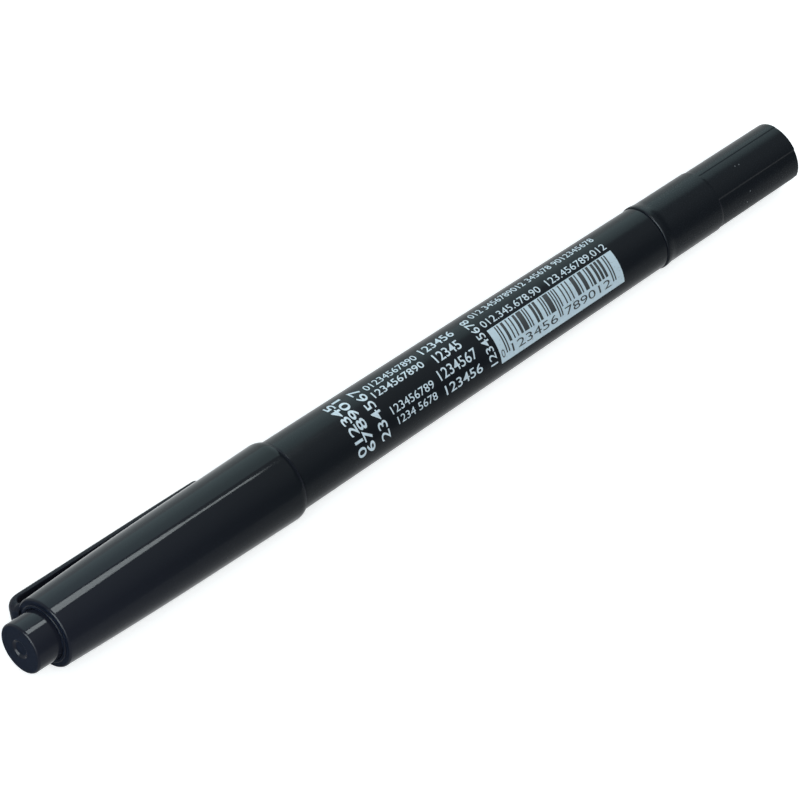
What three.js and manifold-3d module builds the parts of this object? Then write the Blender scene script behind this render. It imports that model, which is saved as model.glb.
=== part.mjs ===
// Double-ended permanent marker, capped at both ends and lying on its pocket clip.
// Sizes are in millimetres. The axis runs along +X, from the knob of the long cap at x = 0 to the
// end face of the short cap, until the last step puts the origin under the middle of the pen.
import * as THREE from "three";
import { mergeVertices } from "three/addons/utils/BufferGeometryUtils.js";
import Module from "manifold-3d";

const wasm = await Module();
wasm.setup();

// Fits shared by all pieces
const slideGap = 0.1; // radial gap of a cap on its neck and of each pressed-in piece
const seatGap = 0.1; // axial gap between faces that seat on each other
const looseGap = 0.3; // axial gap where a piece is only trapped
const edgeRound = 0.3; // small moulded edges

// Long cap
const knobLength = 4.55;
const knobDiameter = 7.95;
const gateDiameter = 3.0;
const gateFloorDiameter = 2.3;
const gateDepth = 0.3;
const longCapLength = 44.75; // end ring to mouth
const capEndDiameter = 10.9;
const capShoulderDiameter = 11.92;
const capShoulderLength = 15.5; // the steeper first stretch, before the gentle taper
const capMouthDiameter = 12.5;
const capMouthRound = 1.3; // along the axis
const capMouthRoundDepth = 0.45; // towards the axis
const capMouthWall = 1.05;
const capEndWall = 1.2;
const capLinerBore = 8.8;
const capBoreStepLength = 4; // cone between the liner bore and the mouth bore
const mouthChamfer = 0.25;

// Pocket clip, moulded in one with the long cap
const clipWidth = 4.6;
const clipTipWidth = 4.2;
const clipThickness = 1.4;
const clipEdgeRadius = 1.05;
const clipBendRadius = 2.9; // outside of the bend at the root
const clipRootHeight = 8.52; // axis to outer face
const clipArmHeight = 8.38; // handles of the arm's curve
const clipTipHeight = 8.18;
const clipTipFromKnob = 41.3;
const clipRootProud = 0.4; // how far the root stands in front of the end ring
const clipTipCorner = 1.3;
const clipBeadRadius = 0.9;
const clipBeadFromTip = 2.4;
const clipBeadGap = 0.3; // bead to cap
const clipSink = 0.6; // depth of the root in the end ring

// Liner and plug of the long cap
const plugFlangeLength = 1.4;
const plugTailLength = 2.2;
const plugTailDiameter = 6.4;
const longLinerLength = 15.4;
const linerWall = 1.2;
const linerEndWall = 0.8;

// Barrel
const barrelDiameter = 11.26; // at the long cap's mouth
const barrelEndDiameter = 9.83; // at the short cap's mouth
const barrelLength = 73.1; // between the two caps
const barrelWall = 1.2;
const longNeckLength = 13.2;
const longNeckWall = 0.8;
const shortNeckLength = 4.8;
const shortNeckWall = 0.6;
const snapBeadHeight = 0.05;
const snapBeadWidth = 1.2;
const snapBeadFromShoulder = 2.2;
const boreStepLength = 2;
const neckChamfer = 0.25;

// Bullet nib and its holder
const nibDiameter = 2.4;
const nibTipRadius = 0.9;
const nibReach = 3.4; // beyond the holder's nose
const nibInFelt = 3.6;
const holderPlugLength = 10;
const holderFlangeLength = 1.4;
const holderConeLength = 7.2;
const holderConeDiameter = 8.2;
const holderSealLength = 5; // straight stretch that the liner grips
const holderNoseLength = 5.1;
const holderNoseTipDiameter = 4.6;
const ventCount = 3;
const ventWidth = 1.0;
const ventDepth = 0.6;

// Ink store
const feltDiameter = 6.8;
const filmThickness = 0.12;
const filmGap = 0.05;

// Fine nib, its steel sleeve and its holder
const fineNibDiameter = 1.5;
const fineTipDiameter = 0.6;
const fineTipReach = 0.9; // beyond the sleeve
const sleeveDiameter = 1.5;
const sleeveTipDiameter = 1.05;
const sleeveTipLength = 1.4;
const sleeveLength = 7.4;
const sleeveShowing = 4.4;
const sleeveBoreGap = 0.08;
const fineNibInFelt = 3.6;
const finePlugLength = 9.4;
const fineFlangeLength = 1.0;
const fineConeLength = 1.5;
const fineConeDiameter = 6.4;
const fineSealLength = 2.5; // straight stretch that the liner grips
const fineNoseLength = 6.4;
const fineNoseTipDiameter = 2.6;

// Short cap
const shortCapMouthDiameter = 9.84;
const shortCapEndDiameter = 9.5;
const shortCapLength = 27.5; // mouth to end face
const shortCapBeadDiameter = 10.15;
const shortCapBeadWidth = 1.1;
const shortCapWall = 0.97;
const shortCapEndWall = 1.5;
const collarLength = 11.3; // smooth stretch before the flutes
const fluteCount = 3;
const fluteDegrees = 64;
const fluteDepth = 0.14;
const fluteRunOut = 0.4;
const shortLinerLength = 17.2;

// Turn of the two caps about the axis
const clipToFluteDegrees = 8.4; // clip's middle to the middle of the nearest land

// Facets round the axis
const shellFacets = 48;
const innerFacets = 24;
const fineFacets = 16;
const roundSteps = 3;
const clipSteps = 60;
const clipRoundSteps = 4;
const landSteps = 8;

// Cutting bodies
const cutPast = 1; // how far one reaches beyond the piece that it cuts
const planSlack = 0.01; // how much wider than the clip's root its plan starts
const quarterHandle = 0.55; // handles of the cubic that draws a quarter circle, as a share of its radius

// Places along the axis
const capEnd = knobLength;
const longLinerFrom = capEnd + capEndWall + seatGap + plugFlangeLength + plugTailLength + seatGap;
const capMouth = capEnd + longCapLength;
const longShoulder = capMouth + seatGap;
const shortShoulder = longShoulder + barrelLength - seatGap;
const shortMouth = shortShoulder + seatGap;
const shortCapEnd = shortMouth + shortCapLength;
const barrelFront = longShoulder - longNeckLength;
const barrelBack = shortShoulder + shortNeckLength;
const longFlange = barrelFront - seatGap - holderFlangeLength;
const longNose = longFlange - holderConeLength - holderSealLength - holderNoseLength;
const longPlugEnd = barrelFront + holderPlugLength;
const finePlugFrom = barrelBack - finePlugLength;
const fineFlangeTo = barrelBack + seatGap + fineFlangeLength;
const fineNose = fineFlangeTo + fineConeLength + fineSealLength + fineNoseLength;
const sleeveTo = fineNose + sleeveShowing;
const feltFrom = longPlugEnd + looseGap;
const feltTo = finePlugFrom - looseGap;

// Radii that follow from the sizes and fits above
const knobRadius = knobDiameter / 2;
const longBoreRadius = capMouthDiameter / 2 - capMouthWall;
const linerBoreRadius = capLinerBore / 2;
const longNeckRadius = longBoreRadius - slideGap;
const longNeckBore = longNeckRadius - longNeckWall;
const shortBoreRadius = shortCapMouthDiameter / 2 - shortCapWall;
const shortNeckRadius = shortBoreRadius - slideGap;
const shortNeckBore = shortNeckRadius - shortNeckWall;
const barrelBackBore = barrelEndDiameter / 2 - barrelWall;
const longLinerRadius = linerBoreRadius - slideGap;
const shortLinerRadius = shortBoreRadius - slideGap;

const colours = {
  blackGloss: { color: 0x16181b, roughness: 0.18, metalness: 0 },
  blackSatin: { color: 0x1a1c1f, roughness: 0.42, metalness: 0 },
  liner: { color: 0x2a2c2e, roughness: 0.55, metalness: 0 },
  holder: { color: 0x1c1e20, roughness: 0.4, metalness: 0 },
  felt: { color: 0x15151a, roughness: 0.95, metalness: 0 },
  film: { color: 0xd9dde0, roughness: 0.25, metalness: 0 },
  steel: { color: 0xb9bcc0, roughness: 0.25, metalness: 1 },
};

// A solid of revolution about X from [x, radius] pairs that run round the section's outline.
function turned(outline, facets) {
  const profile = outline.map(([x, r]) => new THREE.Vector2(r, x));
  return new THREE.LatheGeometry(profile, facets).rotateZ(-Math.PI / 2);
}

// The quarter ellipse that rounds an edge, from angle a to angle b in degrees.
function quarter(x, r, alongAxis, towardsAxis, a, b) {
  const ellipse = new THREE.EllipseCurve(
    x, r, alongAxis, towardsAxis,
    THREE.MathUtils.degToRad(a), THREE.MathUtils.degToRad(b), b < a,
  );
  return ellipse.getPoints(roundSteps).map((p) => [p.x, p.y]);
}

function toSolid(geometry) {
  const bare = geometry.index ? geometry.toNonIndexed() : geometry.clone();
  bare.deleteAttribute("normal");
  bare.deleteAttribute("uv");
  const merged = mergeVertices(bare, 1e-4);
  return new wasm.Manifold(
    new wasm.Mesh({
      numProp: 3,
      vertProperties: merged.attributes.position.array,
      triVerts: new Uint32Array(merged.index.array),
    }),
  );
}

function toGeometry(solid) {
  const mesh = solid.getMesh();
  const geometry = new THREE.BufferGeometry();
  geometry.setAttribute("position", new THREE.BufferAttribute(mesh.vertProperties, 3));
  geometry.setIndex(new THREE.BufferAttribute(mesh.triVerts, 1));
  return geometry;
}

function piece(name, geometry, colour) {
  const mesh = new THREE.Mesh(geometry, new THREE.MeshStandardMaterial(colours[colour]));
  mesh.name = name;
  mesh.geometry.computeVertexNormals();
  return mesh;
}

// Radius of the long cap's outside at x, between its shoulder and its mouth
function longCapRadius(x) {
  const from = capEnd + capShoulderLength;
  const share = (x - from) / (capMouth - from);
  return THREE.MathUtils.lerp(capShoulderDiameter / 2, capMouthDiameter / 2, share);
}

function longCapShell() {
  const endRadius = capEndDiameter / 2;
  const mouthRadius = longCapRadius(capMouth - capMouthRound);
  const boreStep = longLinerFrom + longLinerLength;
  return turned(
    [
      [capEnd, knobRadius + slideGap],
      ...quarter(capEnd + edgeRound, endRadius - edgeRound, edgeRound, edgeRound, 180, 90),
      [capEnd + capShoulderLength, capShoulderDiameter / 2],
      ...quarter(
        capMouth - capMouthRound, mouthRadius - capMouthRoundDepth,
        capMouthRound, capMouthRoundDepth, 90, 0,
      ),
      [capMouth, longBoreRadius + mouthChamfer],
      [capMouth - mouthChamfer, longBoreRadius],
      [boreStep + capBoreStepLength, longBoreRadius],
      [boreStep, linerBoreRadius],
      [capEnd + capEndWall, linerBoreRadius],
      [capEnd + capEndWall, knobRadius + slideGap],
      [capEnd, knobRadius + slideGap],
    ],
    shellFacets,
  );
}

// Section of the clip: flat inside, rounded towards the outside
function clipSection() {
  const w = clipWidth / 2;
  const t = clipThickness / 2;
  const r = clipEdgeRadius;
  const section = new THREE.Shape();
  section.moveTo(-w, t);
  section.lineTo(-w, r - t);
  section.absarc(r - w, r - t, r, Math.PI, Math.PI * 1.5, false);
  section.absarc(w - r, r - t, r, Math.PI * 1.5, Math.PI * 2, false);
  section.lineTo(w, t);
  section.closePath();
  return section;
}

// Middle line of the clip: out of the end wall, round the bend, and along to the tip
function clipPath() {
  const t = clipThickness / 2;
  const bend = clipBendRadius - t;
  const x = capEnd - clipRootProud + t;
  const top = clipRootHeight - t;
  const arm = clipArmHeight - t;
  const tip = clipTipHeight - t;
  const foot = capEndDiameter / 2 - clipSink - t / 2;
  const pull = bend * quarterHandle;
  const at = (px, h) => new THREE.Vector3(px, 0, h);
  const path = new THREE.CurvePath();
  path.add(new THREE.LineCurve3(at(x, foot), at(x, top - bend)));
  path.add(
    new THREE.CubicBezierCurve3(
      at(x, top - bend), at(x, top - bend + pull), at(x + bend - pull, top), at(x + bend, top),
    ),
  );
  const reach = clipTipFromKnob - x - bend;
  path.add(
    new THREE.CubicBezierCurve3(
      at(x + bend, top), at(x + bend + reach / 3, arm),
      at(x + bend + (reach * 2) / 3, arm), at(clipTipFromKnob, tip),
    ),
  );
  return path;
}

// Outline of the clip seen from outside: it narrows to a tip with rounded corners
function clipPlan() {
  const from = capEnd - clipRootProud - cutPast;
  const root = clipWidth / 2 + planSlack;
  const tip = clipTipWidth / 2;
  const end = clipTipFromKnob;
  const r = clipTipCorner;
  const plan = new THREE.Shape();
  plan.moveTo(from, -root);
  plan.lineTo(end - r, -tip);
  plan.absarc(end - r, r - tip, r, -Math.PI / 2, 0, false);
  plan.absarc(end - r, tip - r, r, 0, Math.PI / 2, false);
  plan.lineTo(from, root);
  plan.closePath();
  return new THREE.ExtrudeGeometry(plan, {
    depth: clipRootHeight * 2,
    bevelEnabled: false,
    curveSegments: clipRoundSteps,
  });
}

function clip() {
  const arm = new THREE.ExtrudeGeometry(clipSection(), {
    extrudePath: clipPath(),
    steps: clipSteps,
    curveSegments: clipRoundSteps,
  });
  const beadX = clipTipFromKnob - clipBeadFromTip;
  const beadHeight = longCapRadius(beadX) + clipBeadGap + clipBeadRadius;
  const bead = new THREE.CylinderGeometry(
    clipBeadRadius, clipBeadRadius, clipTipWidth - clipEdgeRadius, fineFacets,
  ).translate(beadX, 0, beadHeight);
  return toSolid(arm).intersect(toSolid(clipPlan())).add(toSolid(bead));
}

function longCap() {
  return piece("long_cap_shell", toGeometry(toSolid(longCapShell()).add(clip())), "blackGloss");
}

function longCapPlug() {
  const flangeFrom = capEnd + capEndWall + seatGap;
  const flangeTo = flangeFrom + plugFlangeLength;
  const gate = gateDiameter / 2;
  const tail = plugTailDiameter / 2;
  const geometry = turned(
    [
      [gateDepth, 0],
      [gateDepth, gateFloorDiameter / 2],
      [0, gate],
      ...quarter(edgeRound, knobRadius - edgeRound, edgeRound, edgeRound, 180, 90),
      [flangeFrom, knobRadius],
      [flangeFrom, longLinerRadius],
      [flangeTo, longLinerRadius],
      [flangeTo, tail],
      [longLinerFrom - seatGap, tail],
      [longLinerFrom - seatGap, 0],
    ],
    shellFacets,
  );
  return piece("long_cap_plug", geometry, "blackGloss");
}

// Outline of a liner, a sleeve that is closed at x and open at x + length
function linerOutline(x, length, radius) {
  return [
    [x, 0],
    [x, radius - edgeRound],
    [x + edgeRound, radius],
    [x + length, radius],
    [x + length, radius - linerWall + mouthChamfer],
    [x + length - mouthChamfer, radius - linerWall],
    [x + linerEndWall, radius - linerWall],
    [x + linerEndWall, 0],
  ];
}

function longCapLiner() {
  const outline = linerOutline(longLinerFrom, longLinerLength, longLinerRadius);
  return piece("long_cap_liner", turned(outline, innerFacets), "liner");
}

// The raised ring that clicks into a cap, from its foot nearer the knob
function snapBead(from, radius) {
  const middle = from + snapBeadWidth / 2;
  return [
    [from, radius],
    [middle, radius + snapBeadHeight],
    [from + snapBeadWidth, radius],
  ];
}

function barrel() {
  const longBead = longShoulder - snapBeadFromShoulder - snapBeadWidth;
  const shortBead = shortShoulder + snapBeadFromShoulder;
  const geometry = turned(
    [
      [barrelFront, longNeckBore],
      [barrelFront, longNeckRadius - neckChamfer],
      [barrelFront + neckChamfer, longNeckRadius],
      ...snapBead(longBead, longNeckRadius),
      [longShoulder, longNeckRadius],
      [longShoulder, barrelDiameter / 2],
      [shortShoulder, barrelEndDiameter / 2],
      [shortShoulder, shortNeckRadius],
      ...snapBead(shortBead, shortNeckRadius),
      [barrelBack - neckChamfer, shortNeckRadius],
      [barrelBack, shortNeckRadius - neckChamfer],
      [barrelBack, shortNeckBore],
      [shortShoulder - boreStepLength, shortNeckBore],
      [shortShoulder - boreStepLength * 2, barrelBackBore],
      [longShoulder, longNeckBore],
      [barrelFront, longNeckBore],
    ],
    shellFacets,
  );
  return piece("barrel_tube", geometry, "blackSatin");
}

// Air channels along a holder's plug, as bars that are cut out of it
function vents(from, to, radius) {
  const bars = [];
  for (let i = 0; i < ventCount; i++) {
    const bar = new THREE.BoxGeometry(to - from, ventWidth, ventDepth * 2);
    bar.translate((from + to) / 2, 0, radius);
    bar.rotateX((i * 2 * Math.PI) / ventCount);
    bars.push(toSolid(bar));
  }
  return bars;
}

function ventedPiece(name, outline, bars) {
  let holder = toSolid(turned(outline, innerFacets));
  for (const bar of bars) holder = holder.subtract(bar);
  return piece(name, toGeometry(holder), "holder");
}

function longNibHolder() {
  const bore = nibDiameter / 2 + slideGap;
  const seal = longLinerRadius - linerWall - slideGap;
  const plug = longNeckBore - slideGap;
  const outline = [
    [longNose, bore],
    [longNose, holderNoseTipDiameter / 2],
    [longNose + holderNoseLength, seal],
    [longNose + holderNoseLength + holderSealLength, seal],
    [longFlange, holderConeDiameter / 2],
    [longFlange, longNeckRadius - edgeRound],
    [barrelFront - seatGap, longNeckRadius - edgeRound],
    [barrelFront - seatGap, plug],
    [longPlugEnd, plug],
    [longPlugEnd, bore],
    [longNose, bore],
  ];
  return ventedPiece("long_nib_holder", outline, vents(barrelFront, longPlugEnd + cutPast, plug));
}

function bulletNib() {
  const radius = nibDiameter / 2;
  const tip = longNose - nibReach;
  const geometry = turned(
    [
      ...quarter(tip + nibTipRadius * 2, 0, nibTipRadius * 2, nibTipRadius, 180, 90),
      [longNose - seatGap, radius],
      [feltFrom + nibInFelt - edgeRound, radius],
      [feltFrom + nibInFelt, radius - edgeRound],
      [feltFrom + nibInFelt, 0],
    ],
    fineFacets,
  );
  return piece("bullet_nib", geometry, "felt");
}

function inkFelt() {
  const radius = feltDiameter / 2;
  const nibHole = nibDiameter / 2 + slideGap;
  const fineHole = fineNibDiameter / 2 + slideGap;
  const geometry = turned(
    [
      [feltFrom + nibInFelt + seatGap, 0],
      [feltFrom + nibInFelt + seatGap, nibHole],
      [feltFrom, nibHole],
      [feltFrom, radius],
      [feltTo, radius],
      [feltTo, fineHole],
      [feltTo - fineNibInFelt - seatGap, fineHole],
      [feltTo - fineNibInFelt - seatGap, 0],
    ],
    innerFacets,
  );
  return piece("ink_felt", geometry, "felt");
}

function feltFilm() {
  const inside = feltDiameter / 2 + filmGap;
  const outside = inside + filmThickness;
  const outline = [
    [feltFrom, inside],
    [feltFrom, outside],
    [feltTo, outside],
    [feltTo, inside],
    [feltFrom, inside],
  ];
  return piece("felt_film", turned(outline, innerFacets), "film");
}

function fineNibHolder() {
  const bore = Math.max(fineNibDiameter, sleeveDiameter) / 2 + slideGap;
  const seal = shortLinerRadius - linerWall - slideGap;
  const plug = shortNeckBore - slideGap;
  const outline = [
    [finePlugFrom, bore],
    [finePlugFrom, plug],
    [barrelBack + seatGap, plug],
    [barrelBack + seatGap, shortNeckRadius - edgeRound],
    [fineFlangeTo, shortNeckRadius - edgeRound],
    [fineFlangeTo, fineConeDiameter / 2],
    [fineFlangeTo + fineConeLength, seal],
    [fineFlangeTo + fineConeLength + fineSealLength, seal],
    [fineNose, fineNoseTipDiameter / 2],
    [fineNose, bore],
    [finePlugFrom, bore],
  ];
  return ventedPiece("fine_nib_holder", outline, vents(finePlugFrom - cutPast, barrelBack, plug));
}

function fineNibSleeve() {
  const radius = sleeveDiameter / 2;
  const bore = fineTipDiameter / 2 + sleeveBoreGap;
  const outline = [
    [sleeveTo - sleeveLength, bore],
    [sleeveTo - sleeveLength, radius],
    [sleeveTo - sleeveTipLength, radius],
    [sleeveTo, sleeveTipDiameter / 2],
    [sleeveTo, bore],
    [sleeveTo - sleeveLength, bore],
  ];
  return piece("fine_nib_sleeve", turned(outline, fineFacets), "steel");
}

function fineNib() {
  const radius = fineNibDiameter / 2;
  const tip = fineTipDiameter / 2;
  const step = sleeveTo - sleeveLength - seatGap;
  const geometry = turned(
    [
      [feltTo - fineNibInFelt, 0],
      [feltTo - fineNibInFelt, radius],
      [step, radius],
      [step, tip],
      ...quarter(sleeveTo + fineTipReach - tip, 0, tip, tip, 90, 0),
    ],
    fineFacets,
  );
  return piece("fine_nib", geometry, "felt");
}

// Radius of the short cap's outside at x, behind its bead
function shortCapRadius(x) {
  const from = shortMouth + shortCapBeadWidth;
  const share = (x - from) / (shortCapEnd - from);
  return THREE.MathUtils.lerp(shortCapMouthDiameter / 2, shortCapEndDiameter / 2, share);
}

function shortCapShell() {
  const end = shortCapRadius(shortCapEnd - edgeRound);
  const bead = shortCapBeadDiameter / 2;
  const collar = shortMouth + shortCapBeadWidth;
  return turned(
    [
      [shortMouth, shortBoreRadius + mouthChamfer],
      [shortMouth, shortCapRadius(collar)],
      [shortMouth + edgeRound, bead],
      [collar - edgeRound, bead],
      [collar, shortCapRadius(collar)],
      ...quarter(shortCapEnd - edgeRound, end - edgeRound, edgeRound, edgeRound, 90, 0),
      [shortCapEnd, 0],
      [shortCapEnd - shortCapEndWall, 0],
      [shortCapEnd - shortCapEndWall, shortBoreRadius],
      [shortMouth + mouthChamfer, shortBoreRadius],
      [shortMouth, shortBoreRadius + mouthChamfer],
    ],
    shellFacets,
  );
}

// What the flutes leave: the collar, the deeper round of the flutes, and the lands between them
function fluteMask() {
  const past = shortCapEnd + cutPast;
  const clear = shortCapBeadDiameter;
  const from = shortMouth + collarLength;
  const ramp = from + fluteRunOut;
  const core = turned(
    [
      [shortMouth - cutPast, 0],
      [shortMouth - cutPast, clear],
      [from - cutPast, clear],
      [from, shortCapRadius(from)],
      [ramp, shortCapRadius(ramp) - fluteDepth],
      [past, shortCapRadius(past) - fluteDepth],
      [past, 0],
    ],
    shellFacets,
  );
  let mask = toSolid(core);
  const pitch = (2 * Math.PI) / fluteCount;
  const half = (pitch - THREE.MathUtils.degToRad(fluteDegrees)) / 2;
  for (let i = 0; i < fluteCount; i++) {
    const middle = i * pitch + Math.PI / 2 + THREE.MathUtils.degToRad(clipToFluteDegrees);
    const wedge = new THREE.Shape();
    wedge.moveTo(0, 0);
    wedge.absarc(0, 0, clear, middle - half, middle + half, false);
    wedge.closePath();
    const land = new THREE.ExtrudeGeometry(wedge, {
      depth: past - from,
      bevelEnabled: false,
      curveSegments: landSteps,
    });
    land.rotateX(Math.PI / 2).rotateZ(Math.PI / 2).translate(from, 0, 0);
    mask = mask.add(toSolid(land));
  }
  return mask;
}

function shortCap() {
  const shell = toSolid(shortCapShell()).intersect(fluteMask());
  return piece("short_cap_shell", toGeometry(shell), "blackSatin");
}

function shortCapLiner() {
  const outline = linerOutline(0, shortLinerLength, shortLinerRadius);
  const closedAt = shortCapEnd - shortCapEndWall - seatGap;
  const geometry = turned(outline, innerFacets).rotateZ(Math.PI).translate(closedAt, 0, 0);
  return piece("short_cap_liner", geometry, "liner");
}

// Angle between straight down and the clip's middle when the long cap's mouth and the clip's
// rounded edge both touch the table
function clipFromDown() {
  const across = clipWidth / 2 - clipEdgeRadius;
  const up = Math.max(clipRootHeight, clipArmHeight) - clipEdgeRadius;
  const drop = capMouthDiameter / 2 - clipEdgeRadius;
  return Math.acos(drop / Math.hypot(across, up)) + Math.atan2(across, up);
}

function pen() {
  const all = new THREE.Group();
  all.add(longCap(), longCapPlug(), longCapLiner());
  all.add(barrel(), inkFelt(), feltFilm());
  all.add(longNibHolder(), bulletNib());
  all.add(fineNibHolder(), fineNibSleeve(), fineNib());
  all.add(shortCap(), shortCapLiner());
  all.rotation.x = clipFromDown() - Math.PI;
  return all;
}

// The origin goes to the middle of the pen's length and width, on the table
function onTable(object) {
  object.updateMatrixWorld(true);
  const box = new THREE.Box3().setFromObject(object, true);
  const middle = box.getCenter(new THREE.Vector3());
  object.position.set(-middle.x, -middle.y, -box.min.z);
  const table = new THREE.Group();
  table.add(object);
  return table;
}

export default onTable(pen());
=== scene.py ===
"""Looks of a double-ended permanent marker: smooth shells, finishes, print and a small studio.

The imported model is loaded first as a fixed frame, and every place along the pen comes from its nodes.
"""

import math

import bmesh
import bpy
import numpy as np
from bpy.props import FloatProperty, FloatVectorProperty, IntProperty, PointerProperty, StringProperty
from bpy.types import Node, NodeSocket, Operator, Panel, PropertyGroup
from mathutils import Matrix, Vector


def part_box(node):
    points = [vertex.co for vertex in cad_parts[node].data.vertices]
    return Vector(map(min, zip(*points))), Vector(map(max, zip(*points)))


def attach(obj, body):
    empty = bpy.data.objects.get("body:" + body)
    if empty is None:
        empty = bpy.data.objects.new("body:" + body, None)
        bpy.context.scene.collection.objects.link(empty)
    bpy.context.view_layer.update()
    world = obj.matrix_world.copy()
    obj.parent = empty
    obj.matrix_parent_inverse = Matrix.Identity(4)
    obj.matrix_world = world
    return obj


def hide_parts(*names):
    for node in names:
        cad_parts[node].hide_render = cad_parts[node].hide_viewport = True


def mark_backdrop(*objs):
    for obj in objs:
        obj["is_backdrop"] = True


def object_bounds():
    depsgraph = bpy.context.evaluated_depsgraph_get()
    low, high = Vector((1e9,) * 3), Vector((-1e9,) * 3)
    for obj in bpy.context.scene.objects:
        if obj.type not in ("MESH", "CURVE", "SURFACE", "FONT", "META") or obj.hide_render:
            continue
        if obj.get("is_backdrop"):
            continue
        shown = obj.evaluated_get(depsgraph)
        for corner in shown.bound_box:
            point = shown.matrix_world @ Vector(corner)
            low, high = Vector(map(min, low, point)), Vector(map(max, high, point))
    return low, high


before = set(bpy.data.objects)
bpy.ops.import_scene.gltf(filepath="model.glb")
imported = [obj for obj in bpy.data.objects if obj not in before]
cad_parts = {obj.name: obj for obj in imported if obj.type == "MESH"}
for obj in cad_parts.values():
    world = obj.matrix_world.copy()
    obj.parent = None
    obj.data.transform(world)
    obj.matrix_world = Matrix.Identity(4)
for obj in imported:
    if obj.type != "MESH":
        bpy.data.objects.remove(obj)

bl_info = {
    "name": "Double-ended marker",
    "version": (1, 0, 0),
    "blender": (4, 5, 0),
    "location": "3D View > Sidebar > Marker",
    "description": "Smooth surfaces, finishes, print and stage for a double-ended marker",
    "category": "Object",
}

MM = 0.001
SIDES = 144  # facets round the axis of a plain turned piece
STEPPED_SIDES = 720  # facets round the short cap, whose steps take only a few degrees
ARC_STEPS = 8  # facets along a rounded edge
SUPPORT = 0.03 * MM  # from a rounded edge to the next row of points
STRETCH = 2 * MM  # longest facet along the axis
CREASE = math.radians(35)  # sharper edges than this stay sharp


def ends(node):
    """Where a node of the frame starts and ends along the pen."""
    low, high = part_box(node)
    return low.x, high.x


KNOB_FACE = ends("long_cap_plug")[0]
CAP_MOUTH = ends("long_cap_shell")[1]
CAP_END = CAP_MOUTH - 44.75 * MM  # the end ring; the clip's root stands a little in front of it
BARREL_FRONT, BARREL_BACK = ends("barrel_tube")
SHORT_MOUTH, SHORT_END = ends("short_cap_shell")
AXIS = sum(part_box("barrel_tube"), Vector()) / 2

SLIDE_GAP = 0.1 * MM  # radial gap of a cap on its neck and of each pressed-in piece
TIP_GAP = 0.08 * MM  # radial gap of the fine tip in its sleeve
SEAT_GAP = 0.1 * MM  # axial gap between faces that seat on each other
LONG_SHOULDER = CAP_MOUTH + SEAT_GAP
SHORT_SHOULDER = SHORT_MOUTH - SEAT_GAP
CLIP_TURN = math.radians(-33.855)  # direction of the clip round the axis, from +Y towards +Z


def length(name, millimetres, description, least=0):
    """A size that a user can change, given in millimetres and kept in metres."""
    return FloatProperty(
        name=name, description=description, default=millimetres * MM, min=least * MM,
        unit="LENGTH", precision=5,
    )


def amount(name, value, description):
    """A plain number that a user can change."""
    return FloatProperty(name=name, description=description, default=value, min=0)


def turn(name, degrees, description):
    """An angle that a user can change."""
    return FloatProperty(
        name=name, description=description, default=math.radians(degrees), subtype="ANGLE"
    )


def colour(name, hex_value, description):
    """A colour that a user can change, given as sRGB hex."""
    return FloatVectorProperty(
        name=name, description=description, default=linear(hex_value)[:3], subtype="COLOR", min=0, max=1
    )


def linear(hex_value):
    """Linear RGBA of an sRGB hex colour such as "#1a2b3c"."""
    shares = [int(hex_value[i : i + 2], 16) / 255 for i in (1, 3, 5)]
    return [s / 12.92 if s <= 0.04045 else ((s + 0.055) / 1.055) ** 2.4 for s in shares] + [1.0]


class LongCapSizes(PropertyGroup):
    """Sizes of the long cap's shell and of the knob that plugs its end."""

    end_diameter: length("End diameter", 10.9, "Across the end ring")
    shoulder_diameter: length("Shoulder diameter", 11.92, "Across the end of the steeper first stretch")
    shoulder_length: length("Shoulder length", 15.5, "Length of the steeper first stretch")
    shoulder_blend: length("Shoulder blend", 9, "How far the two stretches run into each other")
    mouth_diameter: length("Mouth diameter", 12.5, "Across the mouth")
    mouth_round: length("Mouth rounding", 1.3, "Rounding of the mouth, along the pen")
    mouth_depth: length("Mouth rounding depth", 0.45, "Rounding of the mouth, towards the axis")
    mouth_wall: length("Mouth wall", 1.05, "Wall at the mouth")
    end_wall: length("End wall", 1.2, "Thickness of the end ring")
    lip_height: length("Lip height", 0.2, "Lip round the knob's hole, in front of the end ring")
    lip_width: length("Lip width", 0.45, "Lip round the knob's hole, across")
    liner_bore: length("Liner bore", 8.8, "Bore round the liner")
    bore_step: length("Bore step", 4, "Cone between the liner bore and the mouth bore")
    edge_round: length("Edge rounding", 0.32, "Rounding of the end ring's rim")
    knob_diameter: length("Knob diameter", 7.95, "Across the knob")
    knob_round: length("Knob rounding", 0.36, "Rounding of the knob's rim")
    gate_diameter: length("Gate diameter", 3.0, "Across the recess in the knob's face")
    gate_depth: length("Gate depth", 0.3, "Depth of the recess in the knob's face")
    flange_length: length("Flange length", 1.4, "Flange of the plug behind the end ring")
    tail_length: length("Tail length", 2.2, "Tail of the plug, up to the liner")
    tail_diameter: length("Tail diameter", 6.4, "Across the plug's tail")


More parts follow.
